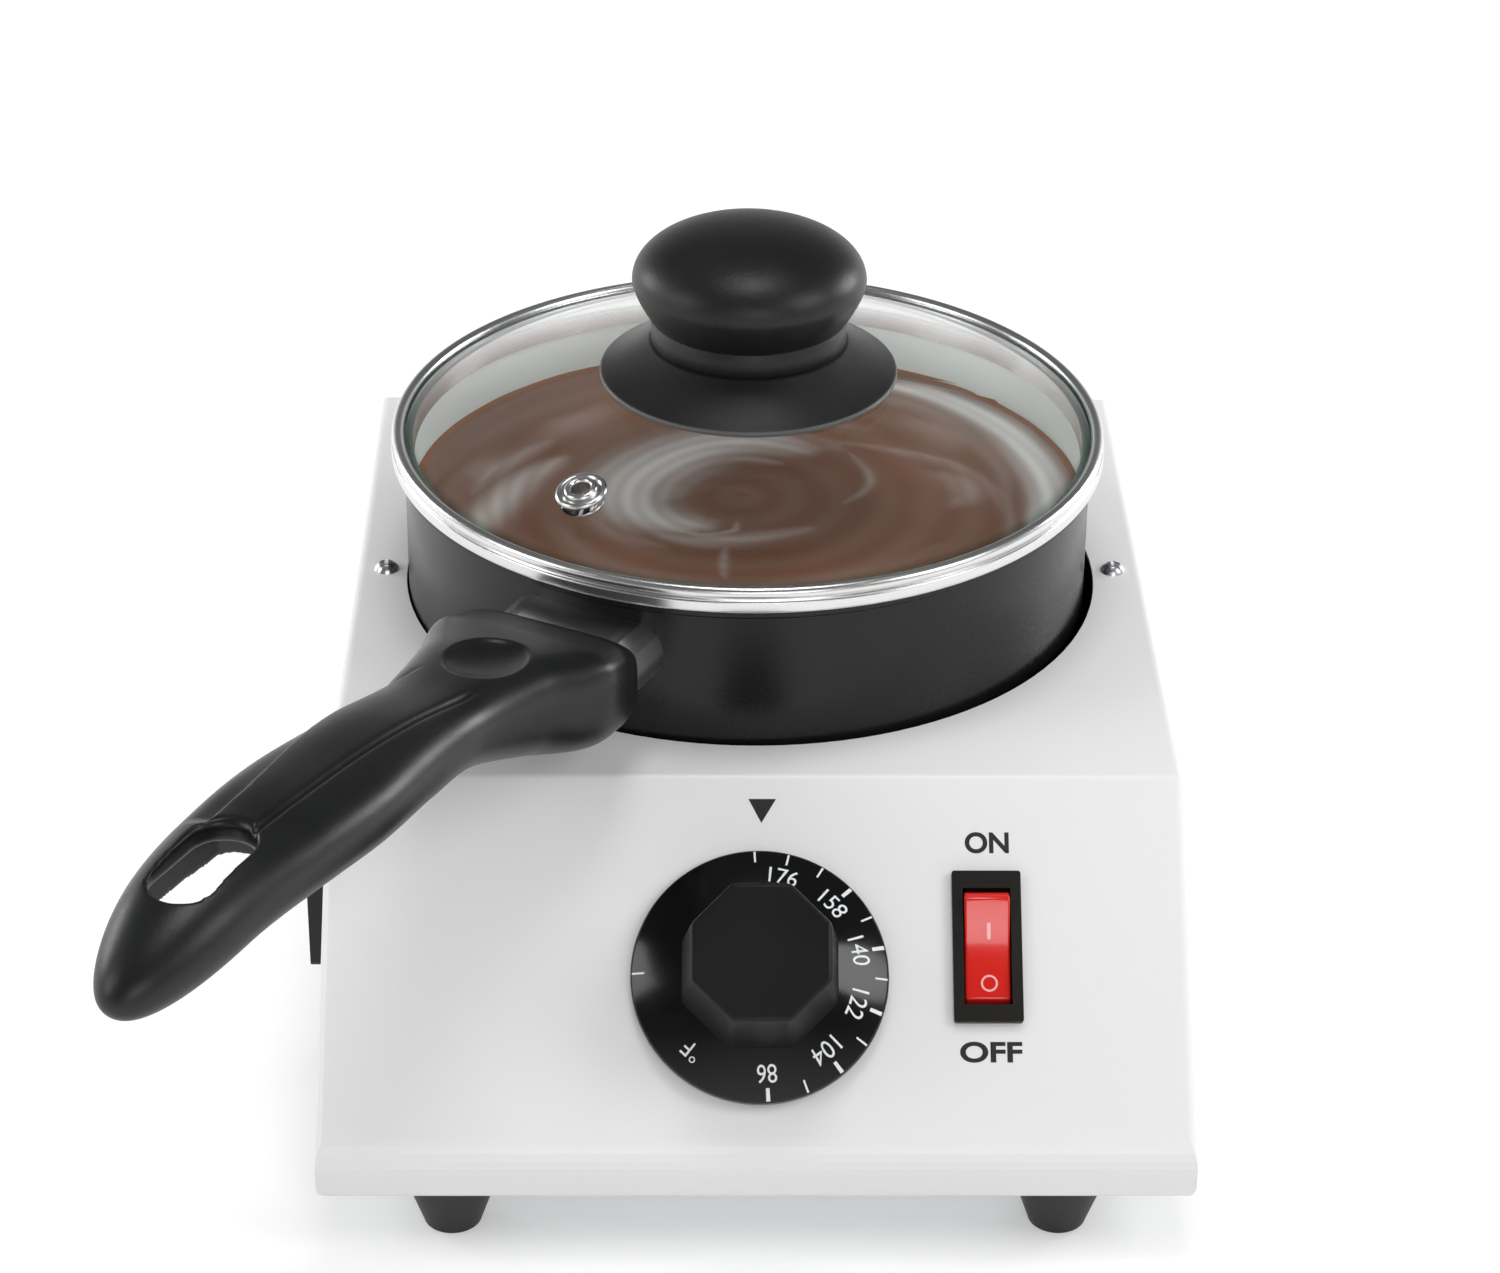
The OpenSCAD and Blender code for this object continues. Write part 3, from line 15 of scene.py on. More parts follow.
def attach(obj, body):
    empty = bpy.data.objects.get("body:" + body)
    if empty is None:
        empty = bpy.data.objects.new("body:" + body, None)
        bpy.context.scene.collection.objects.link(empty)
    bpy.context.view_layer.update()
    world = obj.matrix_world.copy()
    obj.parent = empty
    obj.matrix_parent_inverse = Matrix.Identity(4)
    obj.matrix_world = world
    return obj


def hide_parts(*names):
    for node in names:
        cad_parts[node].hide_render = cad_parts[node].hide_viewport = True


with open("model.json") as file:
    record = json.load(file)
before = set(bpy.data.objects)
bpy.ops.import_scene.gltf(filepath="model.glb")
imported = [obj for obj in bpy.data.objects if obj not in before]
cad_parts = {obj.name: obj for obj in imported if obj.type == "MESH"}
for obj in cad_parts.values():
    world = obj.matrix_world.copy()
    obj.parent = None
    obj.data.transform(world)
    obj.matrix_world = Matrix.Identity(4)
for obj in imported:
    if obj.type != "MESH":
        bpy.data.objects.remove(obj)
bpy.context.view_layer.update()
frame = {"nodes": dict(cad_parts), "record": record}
nodes = frame["nodes"]

MM = 0.001

# Places and sizes of the CAD model, in millimetres
PAN_X = 14.215
PAN_Y = 65.218
CASE_X = 15.115
PANEL_TOP_Y = -25.282
TOP_Z = 79.2
PANEL_TILT = math.radians(42.7494)
DIAL_X = 0.6
DIAL_DOWN = 43.6
SWITCH_X = 47.7
SWITCH_DOWN = 36.9
RIM_Z = 111.8
FILL_Z = 98.2
PAN_R = 77.0
PAN_WALL = 1.6
PAN_FLOOR_Z = 47.7
LID_R = 79.9
DOME_TOP = 131.9
DOME_R = 199.505
DISC_EDGE_Z = 129.396
NECK_Z = 137.796

# Where a finish changes, as distances from the pan's axis, and the centre of the inner corner that bounds the painted
# reflection inside the pan, in millimetres
REFLECTION_CORNER_R = PAN_R - 6.0
REFLECTION_CORNER_Z = PAN_FLOOR_Z + 4.5
REFLECTION_REACH = 5.2
GLASS_RIM_FROM = 74.6
GLASS_RIM_TO = 76.4
# The knob disc's painted highlight starts at this radius
DISC_HIGHLIGHT_FROM = 32.95
CHOC_RIM_FROM = 73.9
TINT_HALF = 0.25

SIDEWAYS = Vector((1, 0, 0))
UP_SLOPE = Vector((0, math.cos(PANEL_TILT), math.sin(PANEL_TILT)))
OUT = Vector((0, -math.sin(PANEL_TILT), math.cos(PANEL_TILT)))


def on_panel(x, down, out=0.0):
    """A point on the control panel: sideways from its middle and down from its top bend, in millimetres."""
    top = Vector((CASE_X, PANEL_TOP_Y, TOP_Z))
    return (top + SIDEWAYS * x - UP_SLOPE * down + OUT * out) * MM


# Materials


class Nodes:
    """Short forms for building a node tree."""

    def __init__(self, tree):
        self.tree = tree

    def add(self, kind, **values):
        node = self.tree.nodes.new("ShaderNode" + kind)
        for key, value in values.items():
            setattr(node, key, value)
        return node

    def link(self, source, target):
        self.tree.links.new(source, target)

    def math(self, operation, first, second=None, clamp=False):
        node = self.add("Math", operation=operation, use_clamp=clamp)
        for socket, value in zip(node.inputs, (first, second)):
            if value is None:
                continue
            if isinstance(value, (int, float)):
                socket.default_value = value
            else:
                self.link(value, socket)
        return node.outputs[0]

    def place(self, stretch=(1, 1, 1)):
        where = self.add("TexCoord").outputs["Object"]
        mapping = self.add("Mapping")
        mapping.inputs["Scale"].default_value = stretch
        self.link(where, mapping.inputs["Vector"])
        return mapping.outputs["Vector"]

    def noise(self, vector, scale, detail=4.0, rough=0.55):
        node = self.add("TexNoise")
        node.inputs["Scale"].default_value = scale
        node.inputs["Detail"].default_value = detail
        node.inputs["Roughness"].default_value = rough
        self.link(vector, node.inputs["Vector"])
        return node.outputs["Fac"]

    def spread(self, value, low, high, from_low=0.3, from_high=0.7):
        node = self.add("MapRange")
        self.link(value, node.inputs["Value"])
        for key, number in (("From Min", from_low), ("From Max", from_high), ("To Min", low), ("To Max", high)):
            node.inputs[key].default_value = number
        return node.outputs["Result"]

    def blend(self, factor, first, second):
        node = self.add("Mix", data_type="RGBA")
        self.link(factor, node.inputs["Factor"])
        for socket, value in ((node.inputs[6], first), (node.inputs[7], second)):
            if isinstance(value, (tuple, list)):
                socket.default_value = (*value[:3], 1)
            else:
                self.link(value, socket)
        return node.outputs[2]

    def radius(self):
        """Distance from the pan's upright axis, in millimetres."""
        where = self.add("TexCoord").outputs["Object"]
        parts = self.add("SeparateXYZ")
        self.link(where, parts.inputs[0])
        x = self.math("SUBTRACT", parts.outputs[0], PAN_X * MM)
        y = self.math("SUBTRACT", parts.outputs[1], PAN_Y * MM)
        squares = self.math("ADD", self.math("MULTIPLY", x, x), self.math("MULTIPLY", y, y))
        return self.math("DIVIDE", self.math("SQRT", squares), MM)


finishes = {}


def finish_of(
    name, colour, rough, metal=0.0, vary=0.06, rough_vary=0.06, grain=900.0, depth=0.02, patch=25.0,
    coat=0.0, coat_rough=0.1, specular=0.5, stretch=(1, 1, 1), speck=0.0, pale=None,
):
    """Keeps a surface with patches of tone, uneven roughness and a fine grain. depth is the grain's, in millimetres."""
    material = bpy.data.materials.new(name)
    material.use_nodes = True
    tree = Nodes(material.node_tree)
    shader = material.node_tree.nodes["Principled BSDF"]
    where = tree.place(stretch)
    patches = tree.noise(where, patch, 5.0)
    fine = tree.noise(where, grain, 3.0, 0.6)
    dark = tuple(c * (1 - vary) for c in colour)
    light = tuple(min(1, c * (1 + vary)) for c in colour)
    tone = tree.blend(tree.spread(patches, 0, 1), dark, light)
    if speck:
        spots = tree.spread(tree.noise(where, grain * 2.2, 2.0), 0, speck, 0.62, 0.8)
        tone = tree.blend(spots, tone, tuple(min(1, c * 1.6 + 0.05) for c in colour))
    # A "pale" attribute paints a reflection into the colour: the chocolate's pale swirls and cloud
    if pale:
        painted_reflection = tree.add("Attribute", attribute_name="pale").outputs["Fac"]
        tone = tree.blend(painted_reflection, tone, pale)
    tree.link(tone, shader.inputs["Base Color"])
    uneven = tree.math(
        "ADD", tree.spread(patches, -rough_vary, rough_vary),
        tree.spread(fine, -0.3 * rough_vary, 0.3 * rough_vary),
    )
    tree.link(tree.math("ADD", uneven, rough, clamp=True), shader.inputs["Roughness"])
    bump = tree.add("Bump")
    bump.inputs["Strength"].default_value = 1.0
    bump.inputs["Distance"].default_value = depth * MM
    tree.link(fine, bump.inputs["Height"])
    tree.link(bump.outputs["Normal"], shader.inputs["Normal"])
    shader.inputs["Metallic"].default_value = metal
    shader.inputs["Specular IOR Level"].default_value = specular
    shader.inputs["Coat Weight"].default_value = coat
    shader.inputs["Coat Roughness"].default_value = coat_rough
    finishes[name] = material


def paint_inner_reflection(material, corner_r, corner_z, reach, colour, rough):
    """A painted reflection: pale colour and its own roughness on the inner wall, corner and floor.

    It covers what lies within reach of the inner corner's centre, past that centre outwards and downwards, in
    millimetres.
    """
    tree = Nodes(material.node_tree)
    shader = material.node_tree.nodes["Principled BSDF"]
    parts = tree.add("SeparateXYZ")
    tree.link(tree.add("TexCoord").outputs["Object"], parts.inputs[0])
    below = tree.math("ADD", tree.math("MULTIPLY", parts.outputs[2], -1 / MM), corner_z)
    below = tree.math("MAXIMUM", below, 0.0)
    out = tree.math("MAXIMUM", tree.math("SUBTRACT", tree.radius(), corner_r), 0.0)
    both = tree.math("ADD", tree.math("MULTIPLY", below, below), tree.math("MULTIPLY", out, out))
    inside = tree.math("LESS_THAN", both, reach * reach)
    old = shader.inputs["Base Color"].links[0].from_socket
    tree.link(tree.blend(inside, old, colour), shader.inputs["Base Color"])
    old_rough = shader.inputs["Roughness"].links[0].from_socket
    mix = tree.add("Mix", data_type="FLOAT")
    tree.link(inside, mix.inputs["Factor"])
    tree.link(old_rough, mix.inputs[2])
    mix.inputs[3].default_value = rough
    tree.link(mix.outputs[0], shader.inputs["Roughness"])


def tint_past(material, limit, colour, share):
    """Past a distance from the pan's axis, in millimetres, the surface takes on some of another colour."""
    tree = Nodes(material.node_tree)
    shader = material.node_tree.nodes["Principled BSDF"]
    past = tree.spread(tree.radius(), 0, share, limit - TINT_HALF, limit + TINT_HALF)
    old = shader.inputs["Base Color"].links[0].from_socket
    tree.link(tree.blend(past, old, colour), shader.inputs["Base Color"])


def glass_of(name, colour, edge_colour):
    """Keeps a clear glass that lets lamps through, greener at its rim."""
    material = bpy.data.materials.new(name)
    material.use_nodes = True
    tree = Nodes(material.node_tree)
    shader = material.node_tree.nodes["Principled BSDF"]
    output = material.node_tree.nodes["Material Output"]
    where = tree.place()
    rim = tree.spread(tree.radius(), 0, 1, GLASS_RIM_FROM, GLASS_RIM_TO)
    haze = tree.noise(where, 40.0, 4.0)
    tree.link(tree.blend(rim, colour, edge_colour), shader.inputs["Base Color"])
    tree.link(tree.spread(haze, 0.0, 0.03), shader.inputs["Roughness"])
    shader.inputs["Transmission Weight"].default_value = 1.0
    shader.inputs["IOR"].default_value = 1.47
    clear = tree.add("BsdfTransparent")
    clear.inputs["Color"].default_value = (0.94, 0.97, 0.96, 1)
    path = tree.add("LightPath")
    mix = tree.add("MixShader")
    tree.link(path.outputs["Is Shadow Ray"], mix.inputs[0])
    tree.link(shader.outputs[0], mix.inputs[1])
    tree.link(clear.outputs[0], mix.inputs[2])
    tree.link(mix.outputs[0], output.inputs["Surface"])
    finishes[name] = material


finish_of(
    "case_white", (0.86, 0.86, 0.858), 0.4, vary=0.012, grain=1500, depth=0.012, patch=9, coat=0.15,
    coat_rough=0.25,
)
finish_of("zinc_plate", (0.62, 0.64, 0.66), 0.36, 1.0, patch=60, grain=500)
finish_of("bright_fastener", (0.74, 0.75, 0.77), 0.28, 1.0, patch=300, grain=2500, depth=0.01)
finish_of("foot_rubber", (0.014, 0.014, 0.015), 0.5, vary=0.2, grain=1800, depth=0.03, specular=0.35)
finish_of("black_trim", (0.014, 0.014, 0.015), 0.45, vary=0.15, specular=0.3)
finish_of("well_metal", (0.05, 0.05, 0.052), 0.45, 0.3, vary=0.15)
finish_of("heater_metal", (0.7, 0.71, 0.72), 0.5, 1.0)
finish_of("terminal_brass", (0.78, 0.6, 0.3), 0.3, 1.0, patch=200)
finish_of("insulation", (0.8, 0.77, 0.68), 0.9, vary=0.08, depth=0.1)
finish_of("sensor_copper", (0.78, 0.42, 0.25), 0.3, 1.0, patch=120)
finish_of("thermostat_case", (0.7, 0.66, 0.56), 0.55, vary=0.05)
finish_of("shaft_steel", (0.62, 0.63, 0.65), 0.28, 1.0, stretch=(1, 1, 8))
finish_of("dial_black", (0.004, 0.004, 0.0042), 0.14, vary=0.2, grain=2500, depth=0.002, specular=0.4)
finish_of("switch_black", (0.011, 0.01, 0.008), 0.42, vary=0.12, grain=2200, depth=0.012, specular=0.3)
finish_of(
    "rocker_red", (0.72, 0.012, 0.006), 0.16, vary=0.06, grain=1500, depth=0.004, coat=0.6, coat_rough=0.06,
)
finish_of("lamp_glass", (1.0, 0.5, 0.3), 0.1)
finish_of("block_white", (0.8, 0.79, 0.74), 0.5)
finish_of("wire_brown", (0.16, 0.07, 0.03), 0.45)
finish_of("wire_blue", (0.04, 0.12, 0.45), 0.45)
finish_of("wire_green", (0.2, 0.45, 0.06), 0.45)
finish_of(
    "pan_black", (0.008, 0.0081, 0.0085), 0.3, vary=0.15, grain=1600, depth=0.006, patch=18, specular=0.32,
)
finish_of("bracket_steel", (0.6, 0.61, 0.63), 0.3, 1.0)
finish_of("ferrule_metal", (0.6, 0.6, 0.61), 0.3, 1.0, vary=0.08, rough_vary=0.02, grain=300, depth=0.0005)
finish_of(
    "handle_black", (0.0065, 0.0072, 0.0072), 0.36, vary=0.2, grain=1400, depth=0.03, patch=40, speck=0.12,
    specular=0.42,
)
# Painted reflection: the chocolate is paler along its swirls, by its "pale" attribute
finish_of(
    "melted_chocolate", (0.15, 0.064, 0.036), 0.16, vary=0.2, grain=120, depth=0.02, patch=14, specular=0.35,
    pale=(0.93, 0.92, 0.91),
)
glass_of("lid_clear", (0.975, 0.99, 0.985), (0.3, 0.5, 0.42))
finish_of("band_steel", (0.74, 0.74, 0.735), 0.26, 1.0, vary=0.03, rough_vary=0.02, grain=300, depth=0.0003)
finish_of(
    "knob_black", (0.0065, 0.0067, 0.007), 0.42, vary=0.2, grain=1300, depth=0.04, patch=35, speck=0.12,
    specular=0.42,
)
finish_of("gasket_rubber", (0.08, 0.08, 0.083), 0.6)
finish_of(
    "dial_grip", (0.007, 0.007, 0.0068), 0.42, vary=0.25, grain=1700, depth=0.02, speck=0.06, specular=0.25,
)
finish_of("mark_white", (0.82, 0.86, 0.88), 0.4, vary=0.05)
finish_of("mark_black", (0.015, 0.015, 0.016), 0.5, vary=0.1)
finish_of("mark_pink", (0.95, 0.5, 0.5), 0.3, vary=0.05)

# Painted reflection: the pan's inner wall, corner and floor are coloured pale mint
paint_inner_reflection(finishes["pan_black"], REFLECTION_CORNER_R, REFLECTION_CORNER_Z, REFLECTION_REACH, (0.93, 0.985, 0.97), 0.45)
# Painted highlight: the knob disc's rim is lighter grey past this radius
tint_past(finishes["knob_black"], DISC_HIGHLIGHT_FROM, (0.22, 0.22, 0.22), 0.6)
tint_past(finishes["melted_chocolate"], CHOC_RIM_FROM, (0.3, 0.09, 0.02), 0.75)

slot_of = {row["node"]: row["material_slot"] for row in frame["record"]["subparts"]}
for name, node in nodes.items():
    node.data.materials.clear()
    node.data.materials.append(finishes[slot_of[name]])


# Mesh tools


def piece(name, points, faces, finish, body, replaced=(), smooth=35.0, slot=None):
    """A mesh from points in millimetres in the row frame, riding on a body."""
    mesh = bpy.data.meshes.new(name)
    mesh.from_pydata([tuple(c * MM for c in p) for p in points], [], faces)
    mesh.validate()
    tool = bmesh.new()
    tool.from_mesh(mesh)
    bmesh.ops.remove_doubles(tool, verts=tool.verts, dist=1e-7)
    bmesh.ops.recalc_face_normals(tool, faces=tool.faces)
    tool.to_mesh(mesh)
    tool.free()
    return dress(bpy.data.objects.new(name, mesh), finish, body, replaced, smooth)


def dress(thing, finish, body, replaced=(), smooth=35.0):
    if thing.name not in bpy.context.scene.collection.objects:
        bpy.context.scene.collection.objects.link(thing)
    mesh = thing.data
    mesh.materials.clear()
    mesh.materials.append(finishes[finish])
    mesh.polygons.foreach_set("use_smooth", [True] * len(mesh.polygons))
    mesh.set_sharp_from_angle(angle=math.radians(smooth))
    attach(thing, body)
    if replaced:
        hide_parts(*replaced)
    return thing


def rounded(thing, width, past):
    """Rounds the edges that turn by more than an angle in degrees. width is in millimetres."""
    rounding = thing.modifiers.new("edges", "BEVEL")
    rounding.width = width * MM
    rounding.segments = 3
    rounding.limit_method = "ANGLE"
    rounding.angle_limit = math.radians(past)


def arc(x, z, r, start, end, steps):
    """Points of an arc in a profile, its angles in degrees."""
    angles = np.radians(np.linspace(start, end, steps + 1))
    return [(x + r * math.cos(a), z + r * math.sin(a)) for a in angles]


def turned(profile, steps, at):
    """A closed profile of (radius, height) swept round, its points placed by at(x, y, z)."""
    points = []
    for k in range(steps):
        a = 2 * math.pi * k / steps
        points += [at(r * math.cos(a), r * math.sin(a), z) for r, z in profile]
    n = len(profile)
    faces = []
    for k in range(steps):
        for i in range(n):
            a, b = k * n, (k + 1) % steps * n
            j = (i + 1) % n
            if profile[i][0] < 1e-9 and profile[j][0] < 1e-9:
                continue
            faces.append((a + i, a + j, b + j, b + i))
    return points, faces


def on_axis(x, y, z):
    return (PAN_X + x, PAN_Y + y, z)


# Lid: rolled steel band, eyelet, knob


def dome_z(r):
    return DOME_TOP - DOME_R + math.sqrt(DOME_R * DOME_R - r * r)


BAND_IN_R = LID_R - 2.8
ROLL_R = 1.45
ROLL_Z = RIM_Z + 5.7 - ROLL_R
LOCATOR_R = PAN_R - PAN_WALL - 0.7
LOCATOR_DROP = 3.4
BAND_T = 0.6
BAND_STEPS = 240
band_profile = (
    [(BAND_IN_R, ROLL_Z - 0.9)]
    + arc(LID_R - 0.15 - ROLL_R, ROLL_Z, ROLL_R, 165, -38, 14)
    + arc(LID_R - 0.05, ROLL_Z - 1.35, 0.25, 150, 200, 3)
    + arc(LID_R - 0.5, RIM_Z + 2.4, 0.5, 60, 0, 4)
    + arc(LID_R - 0.8, RIM_Z + 0.8, 0.8, 0, -90, 6)
    + [(LOCATOR_R, RIM_Z), (LOCATOR_R, RIM_Z - LOCATOR_DROP)]
    + [(LOCATOR_R - BAND_T, RIM_Z - LOCATOR_DROP), (LOCATOR_R - BAND_T, RIM_Z + BAND_T)]
    + [(BAND_IN_R, RIM_Z + BAND_T)]
)
piece("lid_band_rolled", *turned(band_profile, BAND_STEPS, on_axis), "band_steel", "lid", ["lid_band"], 50)

VENT_TURN = math.radians(-128)
VENT_AT = 58.8
VENT_BORE_R = 2.1
VENT_SHANK_R = 3.6
VENT_FLANGE_R = 4.0
VENT_STEPS = 96
GLASS_T = 4.0
vent_lean = math.asin(VENT_AT / DOME_R)
vent_frame = (
    Matrix.Translation(on_axis(VENT_AT * math.cos(VENT_TURN), VENT_AT * math.sin(VENT_TURN), dome_z(VENT_AT)))
    @ Matrix.Rotation(VENT_TURN, 4, "Z")
    @ Matrix.Rotation(vent_lean, 4, "Y")
)
vent_profile = (
    [(VENT_BORE_R, -GLASS_T - 1.8)]
    + arc(VENT_BORE_R + 0.8, 0.75, 0.8, 180, 20, 8)
    + [(3.75, 0.35)]
    + arc(4.9, 0.1, 0.8, 140, 0, 8)
    + [(5.6, -0.05), (VENT_SHANK_R, -0.05), (VENT_SHANK_R, -GLASS_T - 0.3), (VENT_FLANGE_R, -GLASS_T - 0.3)]
    + arc(VENT_FLANGE_R, -GLASS_T - 0.8, 0.5, 80, -90, 5)
)


def at_vent(x, y, z):
    return tuple(vent_frame @ Vector((x, y, z)))


piece("lid_eyelet", *turned(vent_profile, VENT_STEPS, at_vent), "band_steel", "lid", ["lid_vent"], 50)

# The knob's disc and head are bored for its insert
KNOB_STEPS = 160
KNOB_R = 25.9
KNOB_H = 26.3
DISC_R = 33.15
DISC_H = 8.4
DISC_T = 1.1
DISC_TOP_R = KNOB_R - 4
DISC_WALL = 2.0
DISC_BORE_R = 4.3
BOSS_R = 9.0
BOSS_Z = DOME_TOP + 1.6
disc_profile = (
    [(DISC_BORE_R, NECK_Z - 0.01), (DISC_TOP_R, NECK_Z)]
    + [
        (
            DISC_TOP_R + (DISC_R - DISC_TOP_R) * (1 - t),
            DISC_EDGE_Z + DISC_T + (DISC_H - DISC_T) * (0.75 * t + 0.25 * t * t),
        )
        for t in np.linspace(0.96, 0.04, 24)
    ]
    + arc(DISC_R - 0.5, DISC_EDGE_Z + DISC_T - 0.35, 0.5, 55, -20, 5)
    + arc(DISC_R - 0.35, DISC_EDGE_Z + 0.35, 0.35, -20, -90, 4)
    + [(DISC_R - DISC_WALL, DISC_EDGE_Z + 0.35), (DISC_TOP_R - DISC_WALL, NECK_Z - DISC_WALL)]
    + [(BOSS_R, NECK_Z - DISC_WALL), (BOSS_R, BOSS_Z), (DISC_BORE_R, BOSS_Z)]
)
piece("knob_flared_disc", *turned(disc_profile, KNOB_STEPS, on_axis), "knob_black", "lid", ["knob_disc"], 40)

NECK_R = KNOB_R - 4.2
NECK_H = 5.2
UNDERSIDE_R = KNOB_R - 3.9
UNDERSIDE_Z = 6.0
WIDEST_Z = 14.2
HEAD_BORE_R = 4.0
HEAD_BORE_Z = NECK_Z + 14
head_profile = (
    [(HEAD_BORE_R, HEAD_BORE_Z), (HEAD_BORE_R, NECK_Z), (NECK_R - 0.3, NECK_Z)]
    + [(NECK_R, NECK_Z + 0.3), (NECK_R, NECK_Z + NECK_H - 0.5)]
    + [(NECK_R - 0.5, NECK_Z + NECK_H), (NECK_R - 0.5, NECK_Z + UNDERSIDE_Z - 0.5)]
    + [
        (
            UNDERSIDE_R + (KNOB_R - UNDERSIDE_R) * (0.55 * math.sin(math.pi / 2 * t) + 0.45 * t),
            NECK_Z + UNDERSIDE_Z + (WIDEST_Z - UNDERSIDE_Z) * t,
        )
        for t in np.linspace(0, 1, 18)
    ]
    + [
        (KNOB_R * math.cos(a) ** 0.92, NECK_Z + WIDEST_Z + (KNOB_H - WIDEST_Z) * math.sin(a) ** 0.96)
        for a in np.radians(np.linspace(2, 90, 44))[:-1]
    ]
    + [(0, NECK_Z + KNOB_H), (0, HEAD_BORE_Z)]
)
piece("knob_mushroom", *turned(head_profile, KNOB_STEPS, on_axis), "knob_black", "lid", ["knob_head"], 50)


# Melted chocolate: a closed form whose top carries swirls

CHOC_R = PAN_R - PAN_WALL - 0.1
CHOC_SINK = 0.25
CHOC_FLOOR_Z = 50.3
EDGE_RISE = 0.5
EDGE_WIDE = 0.9


def polar(places):
    """(x, y) of places given as (angle in degrees, radius)."""
    return [(r * math.cos(math.radians(a)), r * math.sin(math.radians(a))) for a, r in places]


# Each swirl: its places across and back from the pan's axis, its width and height in millimetres, and the strength of
# its painted reflection
SWIRLS = (
    (polar(((70, 66), (50, 68), (30, 68.5), (10, 68), (-4, 67), (-14, 65))), 3.2, 0.2, 0.85),
    (polar(((75, 60), (45, 61), (15, 60), (-10, 58))), 2.8, -0.1, 0.1),
    (
        ((14, 22), (4, 26), (-6, 25), (-15, 19), (-23, 10), (-27, 1), (-25, -8), (-18, -14), (-10, -16)), 6.2,
        0.25, 0.72,
    ),
    (((-16, 12), (-21, 3), (-19, -6)), 5.0, 0.1, 0.4),
    (((8, 15), (-2, 17), (-11, 12), (-17, 4), (-18, -5)), 2.0, 0.2, 0.24),
    (((-26, -14), (-18, -21), (-8, -23), (4, -21), (14, -17)), 2.0, 0.2, 0.2),
    (((22, 22), (10, 30), (-8, 33), (-22, 27)), 2.6, 0.15, 0.12),
    (polar(((40, 31), (20, 29.5), (4, 27), (-14, 22))), 0.9, 0.2, 0.16),
    (((-16, -19), (-10, -21), (-3.5, -19), (-2.4, -14.5)), 0.8, 0.25, 0.2),
    (((-5, -25), (-5.6, -33), (-5.5, -41)), 0.8, 0.25, 0.13),
    (polar(((158, 45), (172, 50), (184, 55), (196, 62), (206, 67))), 3.2, 0.3, 0.38),
    (polar(((150, 52), (166, 56), (182, 62))), 1.8, 0.2, 0.16),
    (polar(((215, 66), (240, 67), (262, 66), (285, 67))), 1.6, 0.25, 0.06),
    (polar(((65, 30), (36, 38), (15, 49), (-1, 56), (-17, 61), (-30, 62))), 1.4, 0.25, 0.1),
    (polar(((120, 40), (95, 41), (70, 40), (48, 44))), 2.6, 0.25, 0.08),
    (polar(((-30, 50), (-60, 47), (-95, 46), (-130, 48), (-160, 46))), 3.0, 0.22, 0.05),
    (polar(((150, 33), (180, 37), (210, 36), (235, 32))), 2.2, 0.2, 0.09),
    (((42, 10), (48, 6), (50, 0), (46, -6)), 3.4, 0.1, 0.15),
)


def drawn_through(places, steps=10):
    """A smooth line through places, as many short stretches."""
    ends = [places[0]] + list(places) + [places[-1]]
    line = []
    for a, b, c, d in zip(ends, ends[1:], ends[2:], ends[3:]):
        for t in np.linspace(0, 1, steps, endpoint=False):
            line.append([
                0.5 * (2 * q + (r - p) * t + (2 * p - 5 * q + 4 * r - e) * t**2 + (3 * q - p - 3 * r + e) * t**3)
                for p, q, r, e in zip(a, b, c, d)
            ])
    return np.array(line + [list(places[-1])])


def swirl_fields(x, y):
    """Height above the chocolate's level in millimetres, and the strength of the painted reflection, at arrays of
    places.
    """
    high, pale = np.zeros_like(x), np.zeros_like(x)
    for places, width, height, share in SWIRLS:
        line = drawn_through(places)
        best, along_best = np.full_like(x, 1e9), np.zeros_like(x)
        for i, ((x0, y0), (x1, y1)) in enumerate(zip(line, line[1:])):
            dx, dy = x1 - x0, y1 - y0
            t = np.clip(((x - x0) * dx + (y - y0) * dy) / (dx * dx + dy * dy + 1e-12), 0, 1)
            far = np.hypot(x - x0 - t * dx, y - y0 - t * dy)
            near = far < best
            best[near] = far[near]
            along_best[near] = ((i + t) / (len(line) - 1))[near]
        ends = 0.35 + 0.65 * np.sin(math.pi * along_best) ** 0.8
        band = np.exp(-0.5 * (best / (width * ends)) ** 2) * ends
        high += height * band
        pale = np.maximum(pale, share * band)
    r, turn = np.hypot(x, y), np.arctan2(y, x)
    # The painted reflection is broken into streaks, with a faint share everywhere
    pale *= 0.88 + 0.12 * np.sin(1.5 * r + 2.4 * np.sin(turn + 0.4) + 1.2 * np.sin(3 * turn))
    pale += 0.01 * (1 + np.sin(0.62 * r + 1.6 * np.sin(turn + 0.8)))
    high += EDGE_RISE * np.exp(-0.5 * ((CHOC_R - r) / EDGE_WIDE) ** 2)
    high += 0.08 * np.sin(x * 0.21 + 1.3 * np.sin(y * 0.13)) * np.sin(y * 0.17 + 0.7)
    return high, pale


CHOC_SIDE = (
    (CHOC_R, 55.0), (CHOC_R - 0.5, 52.8), (CHOC_R - 2, 51.0), (CHOC_R - 4.4, CHOC_FLOOR_Z), (2, CHOC_FLOOR_Z),
)


